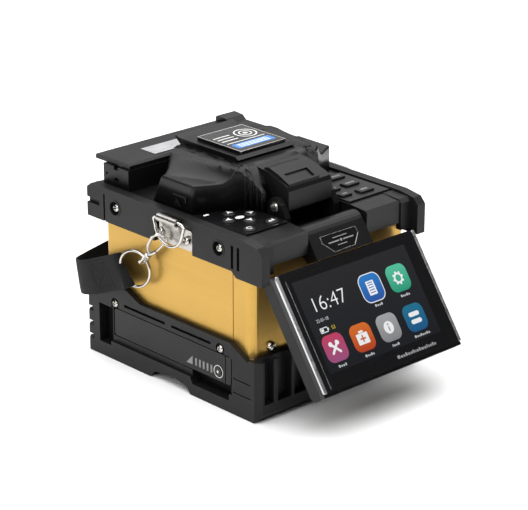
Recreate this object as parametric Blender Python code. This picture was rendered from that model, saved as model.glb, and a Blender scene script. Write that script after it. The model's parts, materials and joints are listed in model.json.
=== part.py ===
"""Fibre fusion splicer: a hand-carried fusion splicing machine with a flip-out touch screen.

Every size and place below is in millimetres; the meshes and objects are made in metres.
X runs to the machine's right, Y to its back and Z up. The origin is the centre of the tray's underside.
"""

import math

import bmesh
import bpy
from mathutils import Matrix, Vector

MM = 0.001
GAP = 0.3  # clearance between neighbouring pieces

# Driving dimensions
HALF_WIDTH = 69.0  # outer face of the bumpers and of the tray
SLEEVE_HALF = 65.0
SLEEVE_FRONT, SLEEVE_BACK = -63.5, 73.0
TRAY_FRONT, TRAY_BACK = -73.0, 88.0
TRAY_DECK = 36.0  # height inside the tray where the chassis plate lies
SLEEVE_BOTTOM, SLEEVE_TOP = 38.3, 94.5
DECK_HALF = 62.0
DECK_FRONT, DECK_BACK = -54.0, 84.0
DECK_BOTTOM, DECK_TOP = 96.3, 112.0
WELL_FLOOR = 98.0
BUMPER_FRONT = -76.0
SCREW_HEIGHT_TOP, SCREW_HEIGHT_TRAY = 103.0, 39.0

SCREEN_AXIS = (-60.0, 102.5)  # (y, z) of the screen's hinge, along X
SCREEN_TILT = 34.8  # degrees that the screen leans out from upright
SCREEN_TOP = (-77.0, 92.9)  # (y, z) of the glass's upper front edge
GLASS_HALF, GLASS_HEIGHT = 56.1, 74.2
SCREEN_HALF, SCREEN_DEPTH = 58.5, 14.2
NECK_HALF, NECK_RADIUS = 23.4, 8.2

COVER_AXIS = (-38.0, 117.4)  # (y, z) of the windshield's hinge, along X
COVER_HALF, COVER_FRONT = 58.0, -8.0  # the front is behind the arm
COVER_CORNER, COVER_CHEEK, COVER_NOSE = (55.0, -5.0), (30.0, -19.2), (25.0, -31.5)  # (x, y) on the slanting front
COVER_BOTTOM = DECK_TOP + 0.5
WING_HEIGHT, DOME_HEIGHT = 130.0, 138.0
COVER_SKIN = 2.5

HEATER_AXIS = (82.5, 122.5)  # (y, z) of the heater lid's hinge, along X
HEATER_HALF, HEATER_FRONT, HEATER_BACK = 60.0, 54.0, 78.0
HEATER_TOP = 125.8

BATTERY_Y, BATTERY_Z = (-47.0, 62.0), (16.6, 34.6)
BATTERY_FACE = -67.0
BATTERY_BUTTON = (-35.7, 22.4)  # (y, z)

RING_X, RING_Z = 71.9, 110.3  # straight bar of each D-ring
RING_WIRE, HOOK_WIRE = 1.05, 1.0
STRAP_WIDTH, STRAP_THICK = 22.5, 2.0

# Left keypad: name -> centre (x, y); right keypad: name -> (x, y, width, depth)
ROUND_KEYS = {"key_back": (-43.0, -19.4), "key_forward": (-42.0, -36.8), "key_left": (-51.2, -28.3),
              "key_right": (-33.4, -28.0), "key_enter": (-33.4, -46.6), "key_return": (-52.0, -47.4)}
LONG_KEYS = {"key_reset": (50.4, -16.0, 12.0, 7.0), "key_heat": (48.6, -30.5, 12.0, 7.0),
             "key_set": (47.0, -44.8, 12.0, 7.0), "key_axis": (31.8, -42.8, 9.0, 6.0),
             "key_zoom": (33.4, -31.2, 9.0, 6.0)}
ROUND_KEY_RADIUS = 4.0
KEY_ROOM = [(-59, -52), (-26.6, -52), (-26.6, -31), (-31.4, -19.8), (-47, -11), (-59, -11)]  # sunk floor under keys
KEY_TOP, KEY_BOTTOM = 114.1, 112.0
PLATE_BOTTOM, PLATE_TOP = DECK_TOP + GAP, DECK_TOP + 1.1


# ---------------------------------------------------------------- shapes: each is (vertices, faces)

def place(point, axis, along):
    """A 2D outline point and a place along an axis, as a 3D point."""
    a, b = point
    return {"X": (along, a, b), "Y": (a, along, b), "Z": (a, b, along)}[axis]


def prism(outline, axis, low, high):
    """An outline carried straight along an axis."""
    count = len(outline)
    verts = [place(p, axis, low) for p in outline] + [place(p, axis, high) for p in outline]
    faces = [tuple(range(count)), tuple(range(2 * count - 1, count - 1, -1))]
    for i in range(count):
        j = (i + 1) % count
        faces.append((i, i + count, j + count, j))
    return verts, faces


def block(x, y, z):
    return prism([(x[0], y[0]), (x[1], y[0]), (x[1], y[1]), (x[0], y[1])], "Z", z[0], z[1])


def circle(centre, radius, sides=16):
    turns = [2 * math.pi * (i + 0.5) / sides for i in range(sides)]
    return [(centre[0] + radius * math.cos(t), centre[1] + radius * math.sin(t)) for t in turns]


def rod(centre, axis, radius, low, high, sides=16):
    return prism(circle(centre, radius, sides), axis, low, high)


def turned(centre, axis, profile, sides=12):
    """A turned piece: profile is [(place on the axis, radius), ...] from one end to the other."""
    verts = [place(p, axis, along) for along, radius in profile for p in circle(centre, radius, sides)]
    faces = [tuple(range(sides)), tuple(range((len(profile) - 1) * sides, len(profile) * sides))]
    for i in range(len(profile) - 1):
        for k in range(sides):
            m = (k + 1) % sides
            faces.append((i * sides + k, i * sides + m, (i + 1) * sides + m, (i + 1) * sides + k))
    return verts, faces


def rounded(x, y, radius, steps=3):
    """A rectangle's outline with round corners."""
    points = []
    corners = [(x[1], y[1], 0), (x[0], y[1], 90), (x[0], y[0], 180), (x[1], y[0], 270)]
    for cx, cy, start in corners:
        ox = cx - radius * (1 if cx == x[1] else -1)
        oy = cy - radius * (1 if cy == y[1] else -1)
        for i in range(steps + 1):
            t = math.radians(start + 90 * i / steps)
            points.append((ox + radius * math.cos(t), oy + radius * math.sin(t)))
    return points


def wire(path, normal, radius, sides=8, closed=False):
    """A round wire along a path that lies in a plane with this normal."""
    path = [Vector(p) for p in path]
    normal = Vector(normal).normalized()
    count = len(path)
    verts, faces = [], []
    for i, point in enumerate(path):
        before = path[i - 1] if closed or i > 0 else point
        after = path[(i + 1) % count] if closed or i < count - 1 else point
        side = normal.cross((after - before).normalized()).normalized()
        for k in range(sides):
            t = 2 * math.pi * k / sides
            verts.append(tuple(point + radius * (math.cos(t) * side + math.sin(t) * normal)))
    for i in range(count if closed else count - 1):
        here, there = i * sides, ((i + 1) % count) * sides
        for k in range(sides):
            m = (k + 1) % sides
            faces.append((here + k, here + m, there + m, there + k))
    if not closed:
        faces.append(tuple(range(sides)))
        faces.append(tuple(range((count - 1) * sides, count * sides)))
    return verts, faces


def band(path, across, width, thick):
    """A flat strap along a path; across[i] is its width direction at path[i]."""
    verts, faces = [], []
    count = len(path)
    for i, point in enumerate(path):
        ahead = (path[min(i + 1, count - 1)] - path[max(i - 1, 0)]).normalized()
        wide = across[i].normalized()
        out = ahead.cross(wide).normalized()
        for a, b in ((-1, -1), (1, -1), (1, 1), (-1, 1)):
            verts.append(tuple(point + wide * a * width / 2 + out * b * thick / 2))
    for i in range(count - 1):
        for k in range(4):
            m = (k + 1) % 4
            faces.append((4 * i + k, 4 * i + m, 4 * i + 4 + m, 4 * i + 4 + k))
    faces.append((0, 1, 2, 3))
    faces.append(tuple(4 * (count - 1) + k for k in range(4)))
    return verts, faces


def hill(columns, height, bottom_back, bottom):
    """A solid with a flat bottom and a top that rises and falls: columns is [(x, [y, ...]), ...]."""
    rows = len(columns[0][1])
    verts, faces = [], []
    for x, ys in columns:
        verts += [(x, y, height(x, y)) for y in ys]
    for x, ys in columns:
        verts += [(x, ys[0], bottom), (x, bottom_back(x), bottom)]
    base = len(columns) * rows
    for i in range(len(columns) - 1):
        for j in range(rows - 1):
            faces.append((i * rows + j, (i + 1) * rows + j, (i + 1) * rows + j + 1, i * rows + j + 1))
        here, there = base + 2 * i, base + 2 * i + 2
        faces.append((here, there, (i + 1) * rows, i * rows))
        faces.append((here + 1, i * rows + rows - 1, (i + 1) * rows + rows - 1, there + 1))
        faces.append((here, here + 1, there + 1, there))
    last = len(columns) - 1
    faces.append((*range(rows), base + 1, base))
    faces.append((base + 2 * last, base + 2 * last + 1, *range(last * rows + rows - 1, last * rows - 1, -1)))
    return verts, faces


def mirrored(shape):
    """The same shape on the other side of the machine."""
    verts, faces = shape
    return [(-x, y, z) for x, y, z in verts], faces


def both_sides(*shapes):
    return [s for shape in shapes for s in (shape, mirrored(shape))]


def moved(shape, matrix):
    verts, faces = shape
    return [tuple(matrix @ Vector(v)) for v in verts], faces


# ---------------------------------------------------------------- objects

def finish(name, colour, roughness, metallic=0.0):
    made = bpy.data.materials.new(name)
    made.use_nodes = True
    shader = made.node_tree.nodes["Principled BSDF"]
    shader.inputs["Base Color"].default_value = (*colour, 1.0)
    shader.inputs["Roughness"].default_value = roughness
    shader.inputs["Metallic"].default_value = metallic
    return made


def solid_object(name, shapes):
    """One mesh object from one or more closed shapes, with its faces pointing out."""
    verts, faces = [], []
    for shape_verts, shape_faces in shapes:
        start = len(verts)
        verts += [tuple(MM * c for c in v) for v in shape_verts]
        faces += [tuple(start + i for i in face) for face in shape_faces]
    mesh = bpy.data.meshes.new(name)
    mesh.from_pydata(verts, [], faces)
    edit = bmesh_of(mesh)
    edit.to_mesh(mesh)
    edit.free()
    made = bpy.data.objects.new(name, mesh)
    bpy.context.scene.collection.objects.link(made)
    return made


def bmesh_of(mesh):
    edit = bmesh.new()
    edit.from_mesh(mesh)
    bmesh.ops.recalc_face_normals(edit, faces=edit.faces)
    return edit


def boolean(target, shapes, operation):
    helper = solid_object(f"{target.name}.{operation.lower()}", shapes)
    helper.hide_render = True
    helper.display_type = "WIRE"
    change = target.modifiers.new(operation.title(), "BOOLEAN")
    change.operation = operation
    change.object = helper


def node(name, look, shapes, join=(), cut=()):
    """One sub-part. join and cut hold groups of shapes that are added to it or taken from it."""
    made = solid_object(name, shapes)
    made.data.materials.append(look)
    for group in join:
        boolean(made, group, "UNION")
    for group in cut:
        boolean(made, group, "DIFFERENCE")
    made.data.shade_smooth()
    made.data.set_sharp_from_angle(angle=math.radians(35))
    return made


def pair(name, look, shapes, join=(), cut=()):
    """The left sub-part and its mirror image on the right."""
    made = []
    for label, flip in (("left", lambda shape: shape), ("right", mirrored)):
        groups = [[[flip(s) for s in group] for group in how] for how in (join, cut)]
        made.append(node(f"{name}_{label}", look, [flip(s) for s in shapes], *groups))
    return made


def pivot(name, place_mm, *moving):
    """An empty on a joint's axis, which its moving pieces hang on."""
    empty = bpy.data.objects.new(name, None)
    empty.location = Vector(place_mm) * MM
    empty.empty_display_size = 0.01
    bpy.context.scene.collection.objects.link(empty)
    for piece in moving:
        piece.parent = empty
        piece.matrix_parent_inverse = Matrix.Translation(-empty.location)


# ---------------------------------------------------------------- lower tray and battery

def rear_notches():
    """Three finger-like grooves round each rear corner of the tray."""
    return [s for z in (10.0, 19.0, 29.0)
            for s in both_sides(block((-70.0, -61.0), (81.0, 90.0), (z - 1.7, z + 1.7)))]


def front_pockets():
    """The sunk panels, open at the top, between the upright ribs of the tray's front wall."""
    panels = [(-63.8, -56.2), (-52.8, -41.6), (-39.2, -28.0), (-25.6, -14.4), (-12.0, -0.8)]
    return both_sides(*[block(x, (-75.0, -67.4), (11.0, 45.0)) for x in panels])


def tray(rubber):
    side = [(TRAY_FRONT, 5), (-69, 0), (TRAY_BACK - 3, 0), (TRAY_BACK, 4), (TRAY_BACK, 45), (75, 45), (69, 51),
            (48, 51), (35, 45.5), (-48, 45.5), (-63.5, 37.5), (-65, 39), (TRAY_FRONT, 39)]
    inside = block((-65.4, 65.4), (-64.0, 73.9), (TRAY_DECK, 60))
    bay = block((-75, -9), (-48, 63), (16.0, TRAY_DECK + 0.5))
    right_room = block((-5, 61), (-60, 70), (5, TRAY_DECK + 0.5))
    front_corner = prism([(-70, -68.4), (-64.6, -74.0), (-75, -80)], "Z", -1, 60)
    lines = [block((-70, -68.3), (-66.5, -51.0), (z - 0.4, z + 0.4)) for z in (23.6, 14.6)]
    rear_corner = prism([(-70, 84.5), (-65, 89), (-75, 95)], "Z", -1, 60)
    arch = prism([(-13, -1), (27, -1), (22, 4.5), (12, 6), (0, 6), (-8, 4.5)], "X", -70, -57)
    panel = [block((-70, BATTERY_FACE), (-50, 75), (12.0, TRAY_DECK - 0.6))]
    deep_pocket = [block((-72, -61), (63.8, 75), (9, 34))]
    finger = [prism([(-47, 7.6), (-14, 7.6), (-12, 11.0), (-12, 16.4), (-47.5, 16.4)], "X", -75, -60)]
    slots = [block((-72, -67.2), (11, 50), (39.2, 41.0)), block((-72, -67.2), (-31, 5), (39.2, 41.0))]
    seats = both_sides(*[rod((y, SCREW_HEIGHT_TRAY), "X", 3.8, -72, -67.6) for y in (59.0, -39.5)])
    holes = both_sides(*[rod((y, SCREW_HEIGHT_TRAY), "X", 1.6, -69, -60, 8) for y in (59.0, -39.5)])
    return node("lower_tray", rubber, [prism(side, "X", -HALF_WIDTH, HALF_WIDTH)],
                cut=[[inside], [bay], [right_room], both_sides(front_corner, rear_corner), both_sides(arch),
                     panel, deep_pocket, finger, slots, rear_notches(), front_pockets(), lines, seats, holes])


def battery(plastic, gloss):
    y, z = BATTERY_Y, BATTERY_Z
    button_y, button_z = BATTERY_BUTTON
    seat = rod((button_y, button_z), "X", 3.6, -70, BATTERY_FACE + 2.4)
    rail = block((-68, -64.5), (-41.6, -42.4), (16, 35))
    pack = node("battery_pack", plastic, [prism(rounded(y, z, 1.5, 2), "X", BATTERY_FACE, -10)],
                cut=[[seat], [rail]])
    button = node("battery_button", gloss, [rod((button_y, button_z), "X", 3.2, BATTERY_FACE - 0.5, -65.8)])
    pivot("battery_slide", (BATTERY_FACE, 0, 25), pack, button)


# ---------------------------------------------------------------- sleeve, chassis and electronics

def sleeve(gold):
    outer = rounded((-SLEEVE_HALF, SLEEVE_HALF), (SLEEVE_FRONT, SLEEVE_BACK), 6, 5)
    inner = rounded((-SLEEVE_HALF + 2, SLEEVE_HALF - 2), (SLEEVE_FRONT + 2, SLEEVE_BACK - 2), 4, 5)
    notch = block((-24.8, 24.8), (-70, -58), (92.3, 100))
    rib = block((-66, -64.6), (-47.6, -46.8), (30, 100))
    screws = both_sides(rod((-50.0, 43.0), "Y", 1.6, -66, -60, 8))
    return node("gold_sleeve", gold, [prism(outer, "Z", SLEEVE_BOTTOM, SLEEVE_TOP)],
                cut=[[prism(inner, "Z", 30, 100)], [notch], both_sides(rib), screws])


def electronics(aluminium, circuit, black):
    node("chassis_plate", aluminium, [block((-64.8, 64.8), (-63.2, 72.8), (TRAY_DECK + GAP, 38))])
    parts = [block((-40, -12), (20, 48), (59, 72)), block((14, 34), (24, 44), (59, 64)),
             block((-50, -38), (-40, -28), (59, 66)), block((20, 50), (-40, -30), (59, 68)),
             rod((44, 8), "Z", 5, 59, 76, 12), rod((44, 22), "Z", 5, 59, 76, 12)]
    posts = both_sides(*[rod((-54, y), "Z", 2.5, 38.3, 58.5, 8) for y in (-52, 62)])
    node("main_board", circuit, [block((-58, 58), (-56, 66), (58, 59.6))], join=[posts, parts])
    node("microscope_camera", black, [rod((0, 5.5), "Z", 4.5, 66, DECK_BOTTOM - GAP)],
         join=[[block((-8, 8), (-2, 28), (59.9, 67))], [rod((0, 20.5), "Z", 4.5, 66, DECK_BOTTOM - GAP)]])


# ---------------------------------------------------------------- top deck, fascia and bumpers

def deck(plastic):
    well = block((-52, 52), (-5, 30.5), (WELL_FLOOR, 120))
    arm_room = block((-24.8, 24.8), (-51, -26), (WELL_FLOOR, 120))
    barrel_room = block((-24.8, 24.8), (-56, -50.9), (90, 120))
    pads = both_sides(prism(KEY_ROOM, "Z", PLATE_BOTTOM - 1.6, 120))
    outline = rounded((-DECK_HALF, DECK_HALF), (DECK_FRONT, DECK_BACK), 3, 2)
    return node("top_deck", plastic, [prism(outline, "Z", DECK_BOTTOM, DECK_TOP)],
                cut=[[well], [arm_room], [barrel_room], pads])


def fascia(plastic):
    """The two front blocks that carry the screen's pin, joined by a bar under the screen's barrel."""
    profile = [(-69, 96.6), (-54.3, 96.6), (-54.3, 112), (-67.6, 111), (-69, 109.8)]
    bar = block((-30, 30), (-60.5, -56), (92.4, 93.6))
    risers = both_sides(block((-30, -25), (-60.5, -56), (92.4, 98)))
    y, z = SCREEN_AXIS
    return node("front_fascia", plastic, [prism(profile, "X", -53.5, -24.8)],
                join=[[prism(profile, "X", 24.8, 53.5)], risers, [bar]], cut=[[rod((y, z), "X", 2.3, -32, 32)]])


def bumper_shapes():
    side = [(BUMPER_FRONT, 88.6), (BUMPER_FRONT, 107.5), (-72, 111.8), (-60, 113.6), (80, 114), (84, 111),
            (84, 92), (-50, 92), (-54, 88.6)]
    step = [(-63.8, 80), (95, 80), (95, 95.0), (-63.8, 95.0)]
    wrap = prism([(-70, 92.0), (-66, 92.0), (-66, 96.6), (-54.4, 96.6), (-54.4, 112.3), (-67.5, 111.6),
                  (-70, 109.5)], "X", -62.6, -53.8)
    grooves = [block((-72, -67.0), (y - 1.1, y + 1.1), (93.5, 108)) for y in (-50.6, -55.8)]
    lug_room = block((-72, -65.3), (-15.3, 19.5), (85, 108))
    notches = [block((-72, -64.5), (66.5, 68), (85, 110)), block((-72, -67.0), (72, 90), (101.0, 104.5))]
    screws = [rod((y, SCREW_HEIGHT_TOP), "X", 4.4, -72, -66.4) for y in (57.0, -38.4)]
    holes = [rod((y, SCREW_HEIGHT_TOP), "X", 1.6, -70, -60, 8) for y in (57.0, -38.4)]
    return {"shapes": [prism(side, "X", -HALF_WIDTH, -62.3)], "join": [[wrap]],
            "cut": [[prism(step, "X", -65.3, -60)], grooves, [lug_room], notches, screws, holes]}


# ---------------------------------------------------------------- strap, rings and hooks

def lug_shapes():
    """Nickel bracket: a plate in the bumper's recess with a rolled barrel for the D-ring."""
    plate = prism(rounded((-13.0, 17.0), (93.0, 106.0), 1.5, 2), "X", -67.0, -65.7)
    web = prism([(-67.0, 98.0), (-66.0, 96.5), (-65.9, 104.0), (-69.6, 107.6), (-70.2, 109.4), (-71.2, 108.6)],
                "Y", -4.4, 11.0)
    barrel = rod((-RING_X, RING_Z), "Y", 2.5, -5.4, 12.0, 12)
    bore = rod((-RING_X, RING_Z), "Y", 1.5, -10, 16, 12)
    heads = [turned((y, 99.5), "X", [(-69.0, 1.6), (-68.6, 2.4), (-66.6, 2.4)]) for y in (-9.2, 14.0)]
    return {"shapes": [plate], "join": [[web], [barrel], heads], "cut": [[bore]]}


BOW_MIDDLE, BOW_HALF, BOW_DROP = 2.5, 12.6, 16.5  # the D-ring's bow: centre in y, half width, depth


def bow_point(turn):
    """A point of the D-ring's bow, from its back end at 0 to its front end at pi."""
    return Vector((-RING_X, BOW_MIDDLE + BOW_HALF * math.cos(turn),
                   RING_Z - 1.6 - (BOW_DROP - 1.6) * math.sin(turn) ** 0.8))


def d_ring_shape():
    """A straight bar through the lug's barrel and a round bow hanging from it."""
    path = [(-RING_X, BOW_MIDDLE - BOW_HALF + 0.8, RING_Z), (-RING_X, BOW_MIDDLE + BOW_HALF - 0.8, RING_Z)]
    path += [bow_point(math.pi * i / 16) for i in range(1, 16)]
    return wire(path, (1, 0, 0), RING_WIRE, 8, closed=True)


HOOK_START = bow_point(math.radians(50))  # where the hook pulls on the bow
HOOK_LONG = Vector((0.0, 0.642, -0.767))
HOOK_WIDE = Vector((0.766, -0.493, -0.413)).normalized()
HOOK_FLAT = HOOK_LONG.cross(HOOK_WIDE)
EYE_PLACE, EYE_RADIUS = 23.6, 3.3
HOOK_RADIUS = 4.6
GATE_HEEL, GATE_TIP = (12.0, 3.1), (3.4, 4.1)  # along and across the hook


def hook_point(along, across):
    return HOOK_START + HOOK_LONG * along + HOOK_WIDE * across


def snap_hook_shapes():
    """A bent hook on a short neck with a swivel eye; the gate closes its open side."""
    bow = [hook_point(1.2 - HOOK_RADIUS * math.cos(t), -HOOK_RADIUS * math.sin(t))
           for t in [math.radians(a) for a in range(-72, 91, 18)]]
    path = bow + [hook_point(5, -4.2), hook_point(10, -3.5), hook_point(14, -1.6), hook_point(16.2, 0)]
    hook = wire(path + [hook_point(20.0, 0)], HOOK_FLAT, HOOK_WIRE)
    heel = wire([hook_point(13.0, 2.6), hook_point(15.0, 1.8), hook_point(17.5, 0.3)], HOOK_FLAT, HOOK_WIRE)
    collar = wire([hook_point(17.0, 0), hook_point(20.6, 0)], HOOK_FLAT, 2.2, 10)
    turns = [2 * math.pi * i / 16 for i in range(16)]
    eye = wire([hook_point(EYE_PLACE - EYE_RADIUS * math.cos(t), 0) + Vector((EYE_RADIUS * math.sin(t), 0, 0))
                for t in turns], HOOK_LONG.cross(Vector((1, 0, 0))), 1.0, 8, closed=True)
    return hook, [[heel], [collar], [eye]]


def gate_shape():
    return wire([hook_point(*GATE_HEEL), hook_point(*GATE_TIP)], HOOK_FLAT, 0.8)


STRAP_RING_RADIUS = 12.4
STRAP_RING_CENTRE = hook_point(EYE_PLACE + 0.7 + STRAP_RING_RADIUS, 0)


def strap_ring_shape():
    path = [STRAP_RING_CENTRE + Vector((0, math.cos(t), math.sin(t))) * STRAP_RING_RADIUS
            for t in [2 * math.pi * i / 28 for i in range(28)]]
    return wire(path, (1, 0, 0), 0.95, 8, closed=True)


def strap_path():
    """Centre line and width directions of the strap's left half, from its ring to the middle of the back."""
    points = [Vector((-RING_X, y, z)) for y, z in ((47.2, 61.4), (58.0, 57.2), (74.0, 52.4), (84.0, 49.8))]
    points += [Vector(p) for p in ((-71.0, 91.0, 48.4), (-67.5, 96.5, 47.4), (-61.0, 99.5, 47.6),
                                   (-50.0, 101.0, 49.2), (-28.0, 102.5, 52.0), (0.0, 103.0, 54.0))]
    across = [Vector((0, 0.52, 0.85)), Vector((0, 0.46, 0.88)), Vector((0, 0.42, 0.91)), Vector((0, 0.38, 0.92)),
              Vector((0.02, 0.3, 0.95)), Vector((0.02, 0.2, 0.98)), Vector((-0.03, 0.08, 1)),
              Vector((-0.08, 0.0, 1)), Vector((-0.1, 0.0, 1)), Vector((0, 0, 1))]
    return points, across


def strap_shape():
    points, across = strap_path()
    flipped = [Vector((-p.x, p.y, p.z)) for p in reversed(points[:-1])]
    wide = [Vector((-a.x, a.y, a.z)) for a in reversed(across[:-1])]
    return band(points + flipped, across + wide, STRAP_WIDTH, STRAP_THICK)


def strap_set(nickel, webbing):
    hook, hook_joins = snap_hook_shapes()
    pieces = {"strap_lug": lug_shapes(), "snap_hook": {"shapes": [hook], "join": hook_joins},
              "strap_ring": {"shapes": [strap_ring_shape()]}}
    for name, build_of in pieces.items():
        pair(name, nickel, **build_of)
    rings = pair("d_ring", nickel, [d_ring_shape()])
    gates = pair("hook_gate", nickel, [gate_shape()])
    heel = hook_point(*GATE_HEEL)
    for side, ring, gate in zip((-1, 1), rings, gates):
        pivot(f"{ring.name}_pivot", (side * RING_X, 2.5, RING_Z), ring)
        pivot(f"{gate.name}_pivot", (-side * heel.x, heel.y, heel.z), gate)
    node("strap_webbing", webbing, [strap_shape()])


# ---------------------------------------------------------------- keypads

def keypads(gloss, black, grey):
    holes = [rod(centre, "Z", ROUND_KEY_RADIUS + 0.4, 100, 120) for centre in ROUND_KEYS.values()]
    left = [(-60.5, -53.0), (-26.0, -53.0), (-26.0, -31.2), (-30.6, -20.2), (-47.9, -10.4), (-60.5, -10.0)]
    node("left_keypad_plate", gloss, [prism(left, "Z", PLATE_BOTTOM, PLATE_TOP)], cut=[holes])
    for name, centre in ROUND_KEYS.items():
        profile = [(KEY_BOTTOM, ROUND_KEY_RADIUS), (KEY_TOP - 0.6, ROUND_KEY_RADIUS), (KEY_TOP, ROUND_KEY_RADIUS - 0.8)]
        key = node(name, black, [turned(centre, "Z", profile, 16)])
        pivot(f"{name}_press", (*centre, KEY_TOP), key)
    holes = []
    for name, (x, y, width, depth) in LONG_KEYS.items():
        outline = rounded((x - width / 2, x + width / 2), (y - depth / 2, y + depth / 2), 1.5, 2)
        wider = rounded((x - width / 2 - 0.4, x + width / 2 + 0.4), (y - depth / 2 - 0.4, y + depth / 2 + 0.4), 1.9, 2)
        holes.append(prism(wider, "Z", 100, 120))
        key = node(name, grey, [prism(outline, "Z", KEY_BOTTOM, KEY_TOP + 0.4)])
        pivot(f"{name}_press", (x, y, KEY_TOP), key)
    right = [(-x, y) for x, y in reversed(left)]
    node("right_keypad_plate", grey, [prism(right, "Z", PLATE_BOTTOM, PLATE_TOP)], cut=[holes])


# ---------------------------------------------------------------- windshield

def smooth(value):
    value = min(1.0, max(0.0, value))
    return value * value * (3 - 2 * value)


def between(value, start, end):
    """Place of value between two points (x, y), read off at x."""
    return start[1] + (end[1] - start[1]) * (value - start[0]) / (end[0] - start[0])


def cover_front(x):
    """Place of the cover's front: it slants forward from the corners to a nose on each side of the arm."""
    out = abs(x)
    if out < 18.4:
        return COVER_FRONT
    if out < 22.9:
        return -26.5
    if out < COVER_NOSE[0]:
        return COVER_NOSE[1]
    if out < COVER_CHEEK[0]:
        return between(out, COVER_NOSE, COVER_CHEEK)
    if out < COVER_CORNER[0]:
        return between(out, COVER_CHEEK, COVER_CORNER)
    return between(out, COVER_CORNER, (COVER_HALF, 0.0))


def cover_back(x):
    """Place of the cover's upper rear edge."""
    return 44.0 - 19.0 * smooth((abs(x) - 27.0) / 31.0)


def cover_top(x, y):
    """Height of the cover: a dome that falls to the arm, with a hollow wing on each side."""
    share = smooth((y - cover_front(x)) / (cover_back(x) - cover_front(x)))
    inner, outer = 34.5 + 7.5 * share, 44.0 + 12.0 * share
    out = min(1.0, max(0.0, (abs(x) - inner) / (outer - inner)))
    swell = WING_HEIGHT + (DOME_HEIGHT - WING_HEIGHT) * (1 - out) ** (2.2 - share)
    return min(swell, DOME_HEIGHT - 0.8 * max(0.0, -16 - y) ** 1.05)


def cover_solid(inset, lower):
    """The cover as a solid, drawn in by inset on every side; lower is its underside. The noses stay solid."""
    half = COVER_HALF - inset
    nose = (18.3, 18.5, 22.8, 23.0, 25.0, 26.4, 28.2) if inset == 0 else (25.5, 27.6)
    places = [0.0, 12.0, *nose, 30.0, 32.5, 34.5, 36.0, 38.0, 40.5, 44.0, 48.0, 52.0]
    places += [55.0, 56.8, half] if inset == 0 else [half]
    xs = [-x for x in reversed(places[1:])] + places
    columns = []
    for x in xs:
        front = COVER_FRONT if inset and abs(x) < 27.5 else cover_front(x)
        back = cover_back(x) - inset
        front += 1.2 * inset
        columns.append((x, [front + (back - front) * t for t in (0, 0.12, 0.28, 0.5, 0.75, 1)]))
    return hill(columns, lambda x, y: cover_top(x, y) - inset, lambda x: cover_back(x) + 7.5 - inset, lower)


def windshield(plastic, nickel, gloss):
    shell = node("windshield_cover", plastic, [cover_solid(0, COVER_BOTTOM)],
                 cut=[[cover_solid(COVER_SKIN, COVER_BOTTOM - 5)]])
    y, z = COVER_AXIS
    neck = [(-8.3, COVER_BOTTOM), (-8.3, 137.5), (-16, 137.2), (-26, 136), (-41.5, 131.2), (-43.8, 130),
            (-45.2, 127.6), (-45.4, 116), (-44.4, 114.6), (-40, 114.2), (-32, COVER_BOTTOM)]
    wedge = prism([(-44, 129), (-43.6, 131.6), (-35, 135.4), (-26.5, 138), (-23, 137.6), (-19, 134)],
                  "X", -16.4, 9.0)
    dish = prism([(-42.4, 136), (-35.2, 139), (-35.2, 134), (-42.4, 130.8)], "X", -12.5, 6.5)
    bore = rod((y, z), "X", 2.3, -20, 20)
    arm = node("cover_arm", plastic, [prism(neck, "X", -18, 18)], join=[[wedge]], cut=[[dish], [bore]])
    roof = [(-5, DOME_HEIGHT + GAP), (-7.2, 139.6), (-4.5, 141.3), (46, 141.3), (50.5, 142.4), (51.2, 141.4),
            (44.6, 136.2), (44.4, DOME_HEIGHT + GAP)]
    roof_plate = node("cover_roof", plastic, [prism(roof, "X", -24, 24)])
    badge = node("badge_plate", gloss, [prism(rounded((-19, 19), (-4.0, 36.5), 1.2, 2), "Z", 141.6, 143.4)])
    pivot("windshield_hinge", (0, y, z), shell, arm, roof_plate, badge)
    ear = [(-47.5, WELL_FLOOR + GAP), (-28.5, WELL_FLOOR + GAP), (-28.5, 112), (-32.4, 119.6), (-36, 123),
           (-40, 123), (-43.6, 119.6), (-47.5, 112)]
    foot = block((-22.4, 22.4), (-47.5, -28.5), (WELL_FLOOR + GAP, 100.4))
    node("hinge_bracket", plastic, [prism(ear, "X", -22.4, -18.5)], join=[[prism(ear, "X", 18.5, 22.4)], [foot]],
         cut=[[rod((y, z), "X", 2.3, -25, 25)]])
    pin = [(-23.9, 2.4), (-23.3, 3.4), (-22.7, 3.4), (-22.7, 1.9), (22.7, 1.9), (22.7, 3.4), (23.3, 3.4), (23.9, 2.4)]
    node("windshield_pin", nickel, [turned((y, z), "X", pin, 16)])


# ---------------------------------------------------------------- splicing well

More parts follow.
